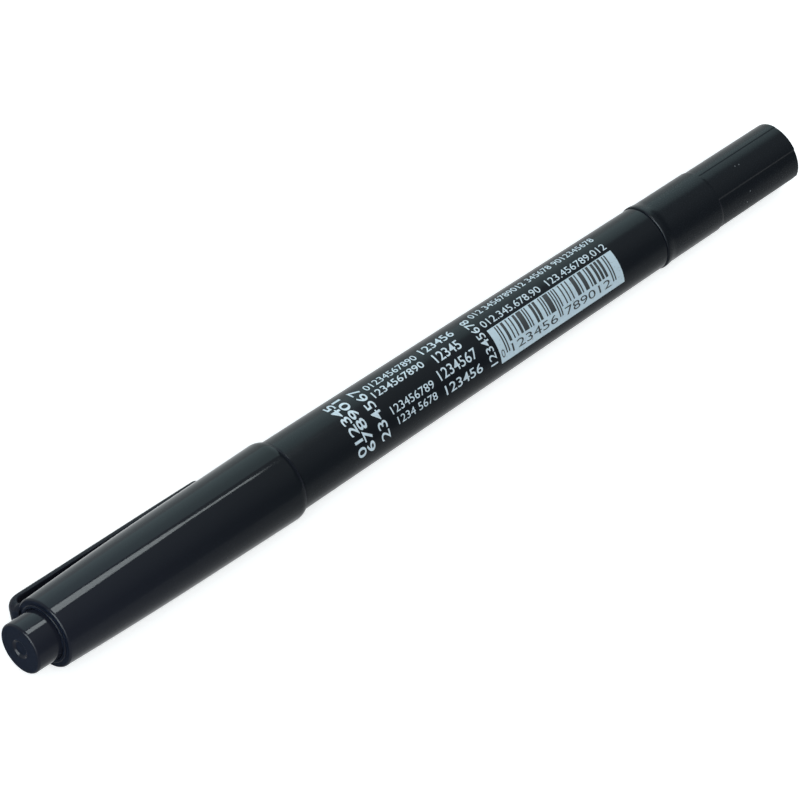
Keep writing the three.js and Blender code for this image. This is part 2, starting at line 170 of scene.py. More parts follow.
class ClipSizes(PropertyGroup):
    """Sizes of the pocket clip."""

    width: length("Width", 4.6, "Across the root")
    tip_width: length("Tip width", 4.2, "Across the tip")
    thickness: length("Thickness", 1.4, "Inner to outer face")
    edge_radius: length("Edge radius", 1.05, "Rounding of the two outer edges")
    bend_radius: length("Bend radius", 2.9, "Outside of the bend at the root")
    root_height: length("Root height", 8.52, "Axis to outer face after the bend")
    arm_height: length("Arm height", 8.38, "Height of the handles of the arm's curve over the axis")
    tip_height: length("Tip height", 8.18, "Axis to outer face at the tip")
    tip_from_knob: length("Tip place", 41.3, "Knob's face to the tip")
    proud: length("Root in front", 0.4, "How far the root stands in front of the end ring")
    tip_corner: length("Tip corner", 1.3, "Rounding of the tip's corners")
    tip_round: length("Tip rounding", 0.35, "Rounding of the tip's end")
    sink: length("Sink", 0.6, "Depth of the root in the end ring")
    flare: length("Root fillet", 0.35, "Fillet between the root and the end ring")
    bead_radius: length("Bead radius", 0.9, "Bead under the tip")
    bead_from_tip: length("Bead place", 2.4, "Tip to the middle of the bead")
    bead_gap: length("Bead gap", 0.3, "Bead to cap")


class BarrelSizes(PropertyGroup):
    """Sizes of the barrel and its two necks."""

    diameter: length("Diameter", 11.26, "Across the barrel at the long cap's mouth")
    end_diameter: length("End diameter", 9.83, "Across the barrel at the short cap's mouth")
    wall: length("Wall", 1.2, "Wall at the narrow end")
    long_neck: length("Long neck diameter", 10.2, "Across the neck in the long cap")
    long_neck_wall: length("Long neck wall", 0.8, "Wall of the neck in the long cap")
    short_neck: length("Short neck diameter", 7.7, "Across the neck in the short cap")
    short_neck_wall: length("Short neck wall", 0.6, "Wall of the neck in the short cap")
    bore_step: length("Bore step", 2, "Cone between the barrel bore and the short neck's bore")
    edge_round: length("Edge rounding", 0.12, "Rounding of the shoulders")
    neck_round: length("Neck rounding", 0.25, "Rounding of the necks' front edges")
    bead_height: length("Snap bead height", 0.05, "Height of the ring that clicks into a cap")
    bead_width: length("Snap bead width", 1.2, "Width of the ring that clicks into a cap")
    bead_from_shoulder: length("Snap bead place", 2.2, "Shoulder to ring")


class NibSizes(PropertyGroup):
    """Sizes of the two nibs, their holders and the fine nib's sleeve."""

    bullet_diameter: length("Bullet nib diameter", 2.4, "Across the bullet nib")
    bullet_tip_radius: length("Bullet tip radius", 0.9, "Rounding of the bullet nib's tip, across")
    plug_length: length("Holder plug", 10, "Stretch of the bullet nib's holder in the barrel")
    flange_length: length("Holder flange", 1.4, "Flange of the bullet nib's holder")
    cone_length: length("Holder cone", 7.2, "Cone in front of the flange")
    cone_diameter: length("Holder cone diameter", 8.2, "Across the cone at the flange")
    seal_length: length("Holder seal", 5, "Straight stretch that the liner grips")
    seal_diameter: length("Holder seal diameter", 6.0, "Across the straight stretch")
    nose_diameter: length("Holder nose diameter", 4.6, "Across the tip of the nose")
    fine_diameter: length("Fine nib diameter", 1.5, "Across the fine nib's body")
    fine_tip: length("Fine tip diameter", 0.6, "Across the fine tip")
    sleeve_tip: length("Sleeve tip diameter", 1.05, "Across the steel sleeve's drawn-in tip")
    sleeve_tip_length: length("Sleeve tip length", 1.4, "Length of the drawn-in tip")
    fine_plug_length: length("Fine plug", 9.4, "Stretch of the fine nib's holder in the barrel")
    fine_flange_length: length("Fine flange", 1.0, "Flange of the fine nib's holder")
    fine_cone_length: length("Fine cone", 1.5, "Cone in front of the flange")
    fine_cone_diameter: length("Fine cone diameter", 6.4, "Across the cone at the flange")
    fine_seal_length: length("Fine seal", 2.5, "Straight stretch that the liner grips")
    fine_seal_diameter: length("Fine seal diameter", 5.1, "Across the straight stretch")
    fine_nose_diameter: length("Fine nose diameter", 2.6, "Across the tip of the nose")
    vent_width: length("Vent width", 1.0, "Across one air channel of a holder")
    vent_depth: length("Vent depth", 0.6, "Depth of one air channel of a holder")
    vent_count: IntProperty(name="Vents", description="Air channels of a holder", default=3, min=1)


class LinerSizes(PropertyGroup):
    """Sizes of the inner caps that keep the nibs from drying."""

    wall: length("Wall", 1.2, "Wall of a liner")
    end_wall: length("End wall", 0.8, "Closed end of a liner")
    mouth_round: length("Mouth rounding", 0.25, "Rounding of a liner's mouth")
    edge_round: length("Edge rounding", 0.3, "Rounding of a liner's closed end")


class ShortCapSizes(PropertyGroup):
    """Sizes of the short cap and its stepped band."""

    mouth_diameter: length("Mouth diameter", 9.84, "Across the collar behind the bead")
    end_diameter: length("End diameter", 9.5, "Across the end")
    bead_diameter: length("Bead diameter", 10.15, "Across the mouth bead")
    bead_width: length("Bead width", 1.1, "Width of the mouth bead")
    wall: length("Wall", 0.97, "Wall of the cap")
    end_wall: length("End wall", 1.5, "Closed end of the cap")
    edge_round: length("Edge rounding", 0.3, "Rounding of the end's rim")
    bead_round: length("Bead rounding", 0.3, "Rounding of the bead")
    bead_slope: length("Bead slope", 1.0, "Length over which the bead falls to the collar")
    collar_length: length("Collar length", 11.3, "Smooth stretch before the stepped band")
    run_out: length("Run-out", 0.4, "Length over which the collar runs out into the stepped band")
    step_depth: length("Step depth", 0.17, "Height of a step")
    step_count: IntProperty(name="Steps", description="Steps round the cap", default=6, min=3)
    step_angle: turn("Step angle", 3.4, "Angle that the slope of one step takes round the axis")
    low_depth: length("Low step depth", 0.06, "Height of every third step, which is a lower one")
    low_angle: turn("Low step angle", 1.6, "Angle that the slope of a lower step takes round the axis")
    low_offset: turn("Low step offset", 4.2, "How far a lower step starts past its even place")
    clip_to_step: turn("Clip to step", 33.8, "Middle of the clip to the start of a step")


class PrintSizes(PropertyGroup):
    """Sizes of the pad print on the barrel."""

    ink: length("Ink thickness", 0.012, "Height of the pale ink over the barrel")
    dark_ink: length("Dark ink thickness", 0.02, "Height of the dark bars over the barrel")
    sink: length("Sink", 0.01, "How far each film reaches into the barrel, so that it has no gap under it")
    bold: length("Bold", 0.012, "Extra stroke width of bold numbers, for a letter height of one millimetre")
    label_from: length("Label start", 88.4, "Knob's face to the label")
    label_to: length("Label end", 113.45, "Knob's face to the end of the label")
    bars_from: length("Bars start", 89.65, "Knob's face to the first bar")
    module: length("Module", 0.236, "Width of the thinnest bar")
    number: StringProperty(
        name="Number",
        description="Twelve plain counting digits under the bars",
        default="123456789012",
    )


class Finish(PropertyGroup):
    """Colours of the pieces."""

    plastic: colour("Black plastic", "#13161b", "Body colour of the moulded shells")
    plastic_light: colour("Black plastic, light", "#16191e", "Flow marks in the moulded shells")
    # Painted light: a lighter, bluer colour that grows along the long cap towards the knob and lies on edges
    # that turn towards the short cap
    painted_light: colour("Bloom", "#1e2029", "Dull bloom on the long cap's polish at the knob")
    # Painted light: the bluer, slightly lighter tint that faces towards the knob show under the light
    end_face: colour("End face", "#151a25", "Faces moulded against the tool's end plate")
    dust: colour("Dust", "#6f7478", "Specks on the short cap")
    shine: amount("Shine", 0.066, "Specular level of the moulded shells")
    ink: colour("Pale ink", "#c3d1db", "Pad print")
    label: colour("Label ink", "#b7c8d3", "Pad print of the bar label")
    felt: colour("Ink-soaked fibre", "#121216", "Nibs and felt")
    liner: colour("Liner", "#2c2f31", "Inner caps")
    steel: colour("Steel", "#c4c5c7", "Sleeve of the fine nib")
    floor: colour("Floor", "#f4f4f4", "Table")
    floor_glow: amount("Floor glow", 0.42, "White added to what the camera and reflections see of the table")


class StageSettings(PropertyGroup):
    """Camera and light."""

    lens: amount("Lens", 408.12, "Focal length in millimetres")
    azimuth: turn("Azimuth", -64.284, "Camera round the pen; 0 looks along +Y")
    elevation: turn("Elevation", 55.338, "Camera above the horizon")
    roll: turn("Roll", 26.298, "Camera about its line of sight")
    distance: length("Distance", 1289.18, "Camera to the point that it looks at")
    aim_x: length("Aim X", -1.897, "Point looked at, along the pen", least=-75)
    aim_y: length("Aim Y", -0.951, "Point looked at, across the pen", least=-75)
    softbox: amount("Softbox", 4.2, "Radiance of the large softbox")
    softbox_tint: colour("Softbox tint", "#defcff", "Colour of the large softbox")
    room_tint: colour("Room tint", "#e0ecef", "Colour of the room and its ceiling")
    side: amount("Side card", 28.0, "Radiance of the card past the knob")
    overhead: amount("Overhead", 2.5, "Radiance of the overhead lamp")
    window: amount("Window", 30.0, "Radiance of the narrow window")


GROUPS = {
    "marker_long_cap": LongCapSizes,
    "marker_clip": ClipSizes,
    "marker_barrel": BarrelSizes,
    "marker_nibs": NibSizes,
    "marker_liners": LinerSizes,
    "marker_short_cap": ShortCapSizes,
    "marker_print": PrintSizes,
    "marker_finish": Finish,
    "marker_stage": StageSettings,
}


# Surfaces


def unit(vectors):
    """Each row at length 1."""
    return vectors / np.maximum(np.linalg.norm(vectors, axis=-1, keepdims=True), 1e-12)


def rounded(corners, ring=True):
    """Points along an outline with rounded corners.

    Each corner is (x, y), (x, y, cut) or (x, y, cut before, cut after). The outline is cut back by
    those lengths on the two sides of the corner, and a quarter of an ellipse bridges the cut and touches
    both sides: corner + (1 - sin t) * before + (1 - cos t) * after, for t from 0 to a right angle.
    """
    place = np.array([corner[:2] for corner in corners], float)
    cuts = np.array([(*corner[2:] * 2, 0, 0)[:2] for corner in corners], float)
    before = unit(np.roll(place, 1, 0) - place) * cuts[:, :1]
    after = unit(np.roll(place, -1, 0) - place) * cuts[:, 1:]
    t = np.linspace(0, np.pi / 2, ARC_STEPS + 1)[:, None]
    arcs = place[:, None] + (1 - np.sin(t)) * before[:, None] + (1 - np.cos(t)) * after[:, None]
    path = arcs.reshape(-1, 2)
    moved = np.linalg.norm(path - np.roll(path, 1, 0), axis=1) > 1e-9
    if not ring:
        moved[0] = True
    return divided(path[moved], ring)


def divided(path, ring):
    """The same line with more points on its straight stretches.

    One lies close to each end, which keeps the shading flat up to the roundings, and others lie at
    most STRETCH apart.
    """
    start = path if ring else path[:-1]
    stop = np.roll(path, -1, 0) if ring else path[1:]
    parts = []
    for a, b in zip(start, stop):
        span = np.linalg.norm(b - a)
        share = np.zeros(1)
        if span > 4 * SUPPORT:
            near = SUPPORT / span
            between = np.linspace(0, 1, math.ceil(span / STRETCH) + 1)[1:-1]
            share = np.concatenate([[0, near], between, [1 - near]])
        parts.append(a + (b - a) * share[:, None])
    if not ring:
        parts.append(path[-1:])
    return np.concatenate(parts)


def round_axis(x, radius, angle):
    """Points (x, radius cos a, radius sin a) about the pen's axis, with a from +Y towards +Z."""
    return np.stack([x, AXIS.y + radius * np.cos(angle), AXIS.z + radius * np.sin(angle)], -1)


def taper(x, start, stop, first, last):
    """Radius at x, where the diameter goes evenly from first, at start, to last, at stop."""
    return np.interp(x, [start, stop], [first / 2, last / 2])


def turned(outline, shape=None, sides=SIDES):
    """Surface of revolution about the pen's axis.

    The outline's point (x, r) goes to (x, r cos a, r sin a) for each angle a round the axis, and
    shape(x, r, a), where it is given, returns the radii to use instead.
    """
    angle = np.linspace(0, 2 * np.pi, sides, endpoint=False)
    x = np.repeat(outline[:, :1], sides, 1)
    r = np.repeat(outline[:, 1:], sides, 1)
    return round_axis(x, shape(x, r, angle) if shape else r, angle)


def quads(rows, columns, ring):
    """Corner numbers of a grid's faces. Its columns join up in a ring, and so do its rows if ring."""
    number = np.arange(rows * columns).reshape(rows, columns)
    here = number if ring else number[:-1]
    there = np.roll(number, -1, 0) if ring else number[1:]
    return np.stack([here, np.roll(here, -1, 1), np.roll(there, -1, 1), there], -1).reshape(-1, 4)


def grid_mesh(name, grids, ring):
    """A mesh from grids of points, each of shape (rows, columns, 3)."""
    faces, first = [], 0
    for grid in grids:
        rows, columns = grid.shape[:2]
        faces.append(quads(rows, columns, ring) + first)
        first += rows * columns
    faces = np.concatenate(faces)
    points = np.concatenate([grid.reshape(-1, 3) for grid in grids])
    mesh = bpy.data.meshes.new(name)
    mesh.vertices.add(len(points))
    mesh.vertices.foreach_set("co", points.astype(np.float32).ravel())
    mesh.loops.add(faces.size)
    mesh.loops.foreach_set("vertex_index", faces.astype(np.int32).ravel())
    mesh.polygons.add(len(faces))
    mesh.polygons.foreach_set("loop_start", np.arange(0, faces.size, 4, dtype=np.int32))
    mesh.update(calc_edges=True)
    return mesh


def closed(mesh):
    """Welds a mesh's seams and poles, points its faces outwards and shades it smooth."""
    work = bmesh.new()
    work.from_mesh(mesh)
    bmesh.ops.remove_doubles(work, verts=work.verts, dist=1e-7)
    bmesh.ops.recalc_face_normals(work, faces=work.faces)
    work.to_mesh(mesh)
    work.free()
    mesh.shade_smooth()
    mesh.set_sharp_from_angle(angle=CREASE)
    return mesh


def add_piece(name, mesh, material, body, replaced=()):
    """Adds a finished mesh as a piece of the marker that rides on a body."""
    mesh.materials.append(material)
    piece = bpy.data.objects.new(name, mesh)
    bpy.context.scene.collection.objects.link(piece)
    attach(piece, body)
    if replaced:
        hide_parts(*replaced)
    return piece


def turned_piece(name, outline, material, body, ring=True, shape=None, sides=SIDES):
    """A piece that is one turned surface and replaces the node of the same name."""
    mesh = closed(grid_mesh(name, [turned(outline, shape, sides)], ring))
    return add_piece(name + "_smooth", mesh, material, body, (name,))


def paint(node, material):
    """Gives a node of the frame its material."""
    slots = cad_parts[node].data.materials
    slots.clear()
    slots.append(material)


# Materials

BLEND = {"data_type": "RGBA"}  # lets a Mix node mix colours
DULL = 0.5  # roughness of a face from the tool's eroded end plate
SPECK_CORE, SPECK_EDGE = 0.04 * MM, 0.13 * MM  # radius up to which a speck is whole, and its edge
DULL_SHINE = 0.15  # that face's share of the plastic's shine


def add(tree, kind, settings=None, inputs=None):
    """Adds a shader node of a kind such as Bump.

    Settings are its own properties. Inputs come by name, or as a tuple in their order. Each is a value,
    a socket, or a node, whose first output in use is linked.
    """
    node = tree.nodes.new("ShaderNode" + kind)
    for key, value in (settings or {}).items():
        setattr(node, key, value)
    for key, value in (inputs.items() if isinstance(inputs, dict) else enumerate(inputs or ())):
        if isinstance(value, Node):
            value = next(output for output in value.outputs if output.enabled)
        if isinstance(value, NodeSocket):
            tree.links.new(value, node.inputs[key])
        else:
            node.inputs[key].default_value = value
    return node


def new_material(name):
    """An empty node material and its tree."""
    material = bpy.data.materials.new(name)
    material.use_nodes = True
    material.node_tree.nodes.clear()
    return material, material.node_tree


def ended(material, kind, inputs):
    """Adds a material's last shader, of that kind and with those inputs, and gives the material back."""
    tree = material.node_tree
    add(tree, "OutputMaterial", inputs={"Surface": add(tree, kind, inputs=inputs)})
    return material


def ramp(tree, coordinate, axis, start, stop, low, high):
    """Value that goes evenly from low to high between two places along an axis."""
    place = add(tree, "TexCoord").outputs[coordinate]
    value = add(tree, "SeparateXYZ", inputs=(place,)).outputs[axis]
    return add(tree, "MapRange", inputs=(value, start, stop, low, high))


def per_metre(millimetres):
    """Noise scale whose grain is that many millimetres across."""
    return 1 / (millimetres * MM)


def rgba(colour_property):
    """A colour property as RGBA."""
    return [*colour_property, 1.0]


def polypropylene(name, finish, flow, grain, roughness, relief, specks=(), gloss=1):
    """Near-black moulded polypropylene, the plastic of all three shells.

    Flow marks that many millimetres across run along the pen and vary the colour a little, and a fine
    grain varies the roughness. Faces towards the knob come from the tool's eroded end plate, which
    leaves them dull; their bluer, slightly lighter colour is painted light, the tint that those faces
    show under the light. Edges that turn towards the short cap are dull too, and get a painted lighter
    colour that lightens the shade along them; the same painted light grows along the long cap towards
    the knob. Specks are places of pale dust. The reflections are weaker than the plastic's index of
    1.49 would give, as matched to the object, and gloss is the share of them that a piece keeps.
    """
    material, tree = new_material(name)
    place = add(tree, "TexCoord").outputs["Object"]
    along = add(tree, "Mapping", inputs={"Vector": place, "Scale": (0.15, 1, 1)})
    marks = add(tree, "TexNoise", inputs={"Vector": along, "Scale": per_metre(flow), "Detail": 2.0})
    fine = add(tree, "TexNoise", inputs={"Vector": place, "Scale": per_metre(grain), "Detail": 3.0})
    to_knob = ramp(tree, "Normal", "X", -0.9, -0.99, 0, 1)
    to_short_cap = ramp(tree, "Normal", "X", 0.2, 0.5, 0, 1)
    end_face = add(tree, "Math", {"operation": "MAXIMUM"}, (to_knob, to_short_cap))
    body = add(
        tree, "Mix", BLEND, {"Factor": marks, "A": rgba(finish.plastic), "B": rgba(finish.plastic_light)}
    )
    for speck in specks:
        away = add(tree, "VectorMath", {"operation": "DISTANCE"}, (place, speck))
        near = add(tree, "MapRange", inputs=(away, SPECK_CORE, SPECK_EDGE, 1, 0))
        body = add(tree, "Mix", BLEND, {"Factor": near, "A": body, "B": rgba(finish.dust)})
    # Painted light: a lighter, bluer colour grows from the long cap's mouth to the knob, and lies on edges
    # that turn towards the short cap, where it lightens their shade
    along_cap = ramp(tree, "Object", "X", KNOB_FACE, CAP_MOUTH, 1, 0)
    painted_light = add(tree, "Math", {"operation": "MAXIMUM"}, (along_cap, to_short_cap))
    body = add(tree, "Mix", BLEND, {"Factor": painted_light, "A": body, "B": rgba(finish.painted_light)})
    # Painted light: faces towards the knob get the bluer tint that they show under the light
    body = add(tree, "Mix", BLEND, {"Factor": to_knob, "A": body, "B": rgba(finish.end_face)})
    smooth = add(tree, "MapRange", inputs=(fine, 0.35, 0.7, roughness, roughness * 1.5))
    rough = add(tree, "Mix", inputs={"Factor": end_face, "A": smooth, "B": DULL})
    level, dull_level = finish.shine * gloss, finish.shine * DULL_SHINE
    shine = add(tree, "MapRange", inputs=(end_face, 0, 1, level, dull_level))
    ripple = add(tree, "Bump", inputs={"Height": marks, "Strength": 0.015, "Distance": 0.02 * MM})
    pores = add(
        tree, "Bump",
        inputs={"Height": fine, "Strength": relief, "Distance": 0.01 * MM, "Normal": ripple},
    )
    return ended(material, "BsdfPrincipled", {
        "Base Color": body, "Roughness": rough, "Normal": pores, "IOR": 1.49, "Specular IOR Level": shine,
    })


def polished_polypropylene(finish):
    """From a polished tool, as on the long cap: crisp reflections that waver a little."""
    return polypropylene("polished black polypropylene", finish, 5, 0.25, 0.06, 0.02)


def dull_polypropylene(finish):
    """The clip's, which leaves the mould less polished than the cap: darker, softer reflections."""
    return polypropylene("dull black polypropylene", finish, 5, 0.25, 0.22, 0.04, gloss=0.4)


def satin_polypropylene(finish):
    """From a finely stoned tool, as on the barrel: softer reflections and a very fine grain."""
    return polypropylene("satin black polypropylene", finish, 4, 0.2, 0.19, 0.1)


def handled_polypropylene(finish, specks):
    """The short cap's, stoned and a little handled: soft reflections with a few pale specks of dust."""
    return polypropylene("handled black polypropylene", finish, 4, 0.2, 0.21, 0.12, specks)


def pad_print_ink(name, colour_value, finish):
    """Two-part pad-printing ink: matte and pale, with pinholes where the pad lifted it."""
    material, tree = new_material(name)
    place = add(tree, "TexCoord").outputs["Object"]
    film = add(tree, "TexNoise", inputs={"Vector": place, "Scale": per_metre(0.35), "Detail": 3.0})
    thin = add(tree, "MapRange", inputs=(film, 0.58, 0.75, 0, 0.35))
    body = add(tree, "Mix", BLEND, {"Factor": thin, "A": colour_value, "B": rgba(finish.plastic_light)})
    relief = add(tree, "Bump", inputs={"Height": film, "Strength": 0.2, "Distance": 0.01 * MM})
    return ended(material, "BsdfPrincipled", {"Base Color": body, "Normal": relief, "Roughness": 0.5})


def moulded_polyethylene(finish):
    """Soft polyethylene of the liners: dark grey and waxy, with slow dull patches."""
    material, tree = new_material("moulded polyethylene")
    place = add(tree, "TexCoord").outputs["Object"]
    patch = add(tree, "TexNoise", inputs={"Vector": place, "Scale": per_metre(1.5), "Detail": 3.0})
    body = add(tree, "Mix", BLEND, {"Factor": patch, "A": rgba(finish.liner), "B": linear("#383b3d")})
    rough = add(tree, "MapRange", inputs=(patch, 0.3, 0.7, 0.4, 0.55))
    return ended(material, "BsdfPrincipled", {"Base Color": body, "Roughness": rough, "IOR": 1.51})


def soaked_fibre(finish):
    """Bonded polyester fibre soaked in ink: black, dull, with fibres that run along the pen."""
    material, tree = new_material("ink-soaked polyester fibre")
    place = add(tree, "TexCoord").outputs["Object"]
    along = add(tree, "Mapping", inputs={"Vector": place, "Scale": (0.06, 1, 1)})
    # Fibres are about 0.02 mm across; they are drawn four times as coarse, so that they show
    fibres = add(tree, "TexNoise", inputs={"Vector": along, "Scale": per_metre(0.08), "Detail": 2.0})
    body = add(tree, "Mix", BLEND, {"Factor": fibres, "A": rgba(finish.felt), "B": linear("#26262c")})
    relief = add(tree, "Bump", inputs={"Height": fibres, "Strength": 0.6, "Distance": 0.04 * MM})
    return ended(material, "BsdfPrincipled", {
        "Base Color": body, "Normal": relief, "Roughness": 0.7, "Sheen Weight": 0.15,
    })


def wrapped_film():
    """Thin polypropylene film round the felt: milky, glossy and a little wrinkled."""
    material, tree = new_material("wrapped polypropylene film")
    place = add(tree, "TexCoord").outputs["Object"]
    wrinkle = add(tree, "TexNoise", inputs={"Vector": place, "Scale": per_metre(2), "Detail": 2.0})
    body = add(tree, "Mix", BLEND, {"Factor": wrinkle, "A": linear("#c9cfd3"), "B": linear("#dfe4e7")})
    relief = add(tree, "Bump", inputs={"Height": wrinkle, "Strength": 0.4, "Distance": 0.05 * MM})
    return ended(material, "BsdfPrincipled", {"Base Color": body, "Normal": relief, "Roughness": 0.25})


def drawn_steel(finish):
    """Drawn stainless tube of the fine nib's sleeve: bright, with fine rings from turning."""
    material, tree = new_material("drawn stainless steel")
    place = add(tree, "TexCoord").outputs["Object"]
    across = add(tree, "Mapping", inputs={"Vector": place, "Scale": (1, 0.05, 0.05)})
    rings = add(tree, "TexNoise", inputs={"Vector": across, "Scale": per_metre(0.08), "Detail": 2.0})
    rough = add(tree, "MapRange", inputs=(rings, 0.3, 0.7, 0.2, 0.34))
    relief = add(tree, "Bump", inputs={"Height": rings, "Strength": 0.2, "Distance": 0.01 * MM})
    return ended(material, "BsdfPrincipled", {
        "Base Color": rgba(finish.steel), "Metallic": 1.0, "Roughness": rough, "Normal": relief,
    })


# Outlines of the pieces, as corners (place along the pen, radius, cuts as rounded takes them)

CRISP, EASED, SOFT, ROUND, FULL = 0.1 * MM, 0.2 * MM, 0.3 * MM, 0.5 * MM, 0.8 * MM  # plain roundings
RUN_OUT_ROWS = 9  # rows of points where the collar runs out into the stepped band
NOSE_ROUND, RIM_ROUND = 0.15 * MM, 0.25 * MM  # roundings of the bullet nib's holder
FINE_ROUND = 0.12 * MM  # rounding of the lip and of the sleeve's tip
GATE_ROUND = 0.08 * MM  # rounding of the gate recess's edge
GATE_FLOOR = 0.74  # share of the gate recess's width that its floor has
LEDGE = 0.3 * MM  # how far a holder's flange stands in from the neck's outside


def long_cap_outline(size):
    """Section of the long cap's wall: lip, end ring, taper, rounded mouth, and back through the bore."""
    hole = size.knob_diameter / 2 + SLIDE_GAP
    bore = size.mouth_diameter / 2 - size.mouth_wall
    liner = size.liner_bore / 2
    liner_to = ends("long_cap_liner")[1]
    lip_front, lip = CAP_END - size.lip_height, hole + size.lip_width
    return rounded([
        (lip_front, hole),
        (lip_front, lip, FINE_ROUND),
        (CAP_END, lip),
        (CAP_END, size.end_diameter / 2, size.edge_round),
        (CAP_END + size.shoulder_length, size.shoulder_diameter / 2, size.shoulder_blend),
        (CAP_MOUTH, size.mouth_diameter / 2, size.mouth_round, size.mouth_depth),
        (CAP_MOUTH, bore, EASED),
        (liner_to + size.bore_step, bore, ROUND),
        (liner_to, liner, ROUND),
        (CAP_END + size.end_wall, liner),
        (CAP_END + size.end_wall, hole),
    ])


def knob_outline(size):
    """Section of the knob: gate recess, face, rounded rim, flange behind the end ring and tail."""
    gate = size.gate_diameter / 2
    knob = size.knob_diameter / 2
    tail = size.tail_diameter / 2
    flange = size.liner_bore / 2 - SLIDE_GAP
    flange_from = CAP_END + size.end_wall + SEAT_GAP
    flange_to = flange_from + size.flange_length
    tail_to = flange_to + size.tail_length
    floor = KNOB_FACE + size.gate_depth
    return rounded([
        (floor, 0),
        (floor, gate * GATE_FLOOR, CRISP),
        (KNOB_FACE, gate, GATE_ROUND),
        (KNOB_FACE, knob, size.knob_round),
        (flange_from, knob),
        (flange_from, flange),
        (flange_to, flange, EASED),
        (flange_to, tail),
        (tail_to, tail, EASED),
        (tail_to, 0),
    ], ring=False)


def liner_outline(size, closed_at, open_at, radius):
    """Section of a liner, closed at one end and open at the other, which may point either way."""
    way = math.copysign(1, open_at - closed_at)
    bore, end_bore = radius - size.wall, closed_at + way * size.end_wall
    return rounded([
        (closed_at, 0),
        (closed_at, radius, size.edge_round),
        (open_at, radius, CRISP),
        (open_at, bore, size.mouth_round),
        (end_bore, bore, EASED),
        (end_bore, 0),
    ], ring=False)


def snap_ring(size, start, radius):
    """The low ring on a neck that clicks into its cap."""
    return [
        (start, radius, EASED),
        (start + size.bead_width / 2, radius + size.bead_height, size.bead_width / 3),
        (start + size.bead_width, radius, EASED),
    ]


def barrel_outline(size):
    """Section of the barrel's wall, over both necks and back through the bore."""
    long_neck, short_neck = size.long_neck / 2, size.short_neck / 2
    long_bore = long_neck - size.long_neck_wall
    short_bore = short_neck - size.short_neck_wall
    back_bore = size.end_diameter / 2 - size.wall
    edge, lip = size.edge_round, size.neck_round
    long_bead = LONG_SHOULDER - size.bead_from_shoulder - size.bead_width
    return rounded([
        (BARREL_FRONT, long_bore, CRISP),
        (BARREL_FRONT, long_neck, lip),
        *snap_ring(size, long_bead, long_neck),
        (LONG_SHOULDER, long_neck),
        (LONG_SHOULDER, size.diameter / 2, edge),
        (SHORT_SHOULDER, size.end_diameter / 2, edge),
        (SHORT_SHOULDER, short_neck),
        *snap_ring(size, SHORT_SHOULDER + size.bead_from_shoulder, short_neck),
        (BARREL_BACK, short_neck, lip),
        (BARREL_BACK, short_bore, CRISP),
        (SHORT_SHOULDER - size.bore_step, short_bore),
        (SHORT_SHOULDER - size.bore_step * 2, back_bore),
        (LONG_SHOULDER, long_bore),
    ])


def long_holder_outline(size, barrel):
    """Section of the bullet nib's holder: nose, seal, cone, flange and plug, round the nib's bore."""
    nose, plug_to = ends("long_nib_holder")
    bore = size.bullet_diameter / 2 + SLIDE_GAP
    plug = barrel.long_neck / 2 - barrel.long_neck_wall - SLIDE_GAP
    rim = barrel.long_neck / 2 - LEDGE
    flange_to = BARREL_FRONT - SEAT_GAP
    flange = flange_to - size.flange_length
    seal_to = flange - size.cone_length
    seal = size.seal_diameter / 2
    return rounded([
        (nose, bore, NOSE_ROUND),
        (nose, size.nose_diameter / 2, ROUND),
        (seal_to - size.seal_length, seal, FULL),
        (seal_to, seal, FULL),
        (flange, size.cone_diameter / 2, EASED),
        (flange, rim, RIM_ROUND),
        (flange_to, rim, CRISP),
        (flange_to, plug),
        (plug_to, plug, EASED),
        (plug_to, bore),
    ])


def fine_holder_outline(size, barrel):
    """Section of the fine nib's holder: plug, flange, cone, seal and nose, round the nib's bore."""
    plug_from, nose = ends("fine_nib_holder")
    bore = size.fine_diameter / 2 + SLIDE_GAP
    plug = barrel.short_neck / 2 - barrel.short_neck_wall - SLIDE_GAP
    rim = barrel.short_neck / 2 - LEDGE
    flange_from = BARREL_BACK + SEAT_GAP
    flange_to = flange_from + size.fine_flange_length
    seal_from = flange_to + size.fine_cone_length
    seal_to = seal_from + size.fine_seal_length
    seal = size.fine_seal_diameter / 2
    return rounded([
        (plug_from, bore),
        (plug_from, plug, EASED),
        (flange_from, plug),
        (flange_from, rim, CRISP),
        (flange_to, rim, EASED),
        (flange_to, size.fine_cone_diameter / 2, CRISP),
        (seal_from, seal, SOFT),
        (seal_to, seal, ROUND),
        (nose, size.fine_nose_diameter / 2, SOFT),
        (nose, bore, CRISP),
    ])


def bullet_outline(size):
    """Section of the bullet nib: half an ellipse at the tip, then a straight rod."""
    tip, tail = ends("bullet_nib")
    radius = size.bullet_diameter / 2
    blunt = size.bullet_tip_radius
    cone_to = ends("long_nib_holder")[0] - SEAT_GAP
    return rounded([
        (tip, 0),
        (tip, blunt, blunt, blunt * 2),
        (cone_to, radius, SOFT),
        (tail, radius, EASED),
        (tail, 0),
    ], ring=False)


def fine_nib_outline(size):
    """Section of the fine nib: a rod that steps down inside the sleeve to the fine round tip."""
    tail, tip = ends("fine_nib")
    step = ends("fine_nib_sleeve")[0] - SEAT_GAP
    radius, fine = size.fine_diameter / 2, size.fine_tip / 2
    return rounded([
        (tail, 0),
        (tail, radius),
        (step, radius),
        (step, fine),
        (tip, fine, fine),
        (tip, 0),
    ], ring=False)


def sleeve_outline(size):
    """Section of the steel sleeve, drawn in at its tip."""
    start, tip = ends("fine_nib_sleeve")
    bore = size.fine_tip / 2 + TIP_GAP
    radius = size.fine_diameter / 2
    return rounded([
        (start, bore),
        (start, radius),
        (tip - size.sleeve_tip_length, radius, ROUND),
        (tip, size.sleeve_tip / 2, FINE_ROUND),
        (tip, bore),
    ])


def short_cap_radius(size, x):
    """Outside radius of the short cap's taper at x."""
    return taper(x, SHORT_MOUTH + size.bead_width, SHORT_END, size.mouth_diameter, size.end_diameter)


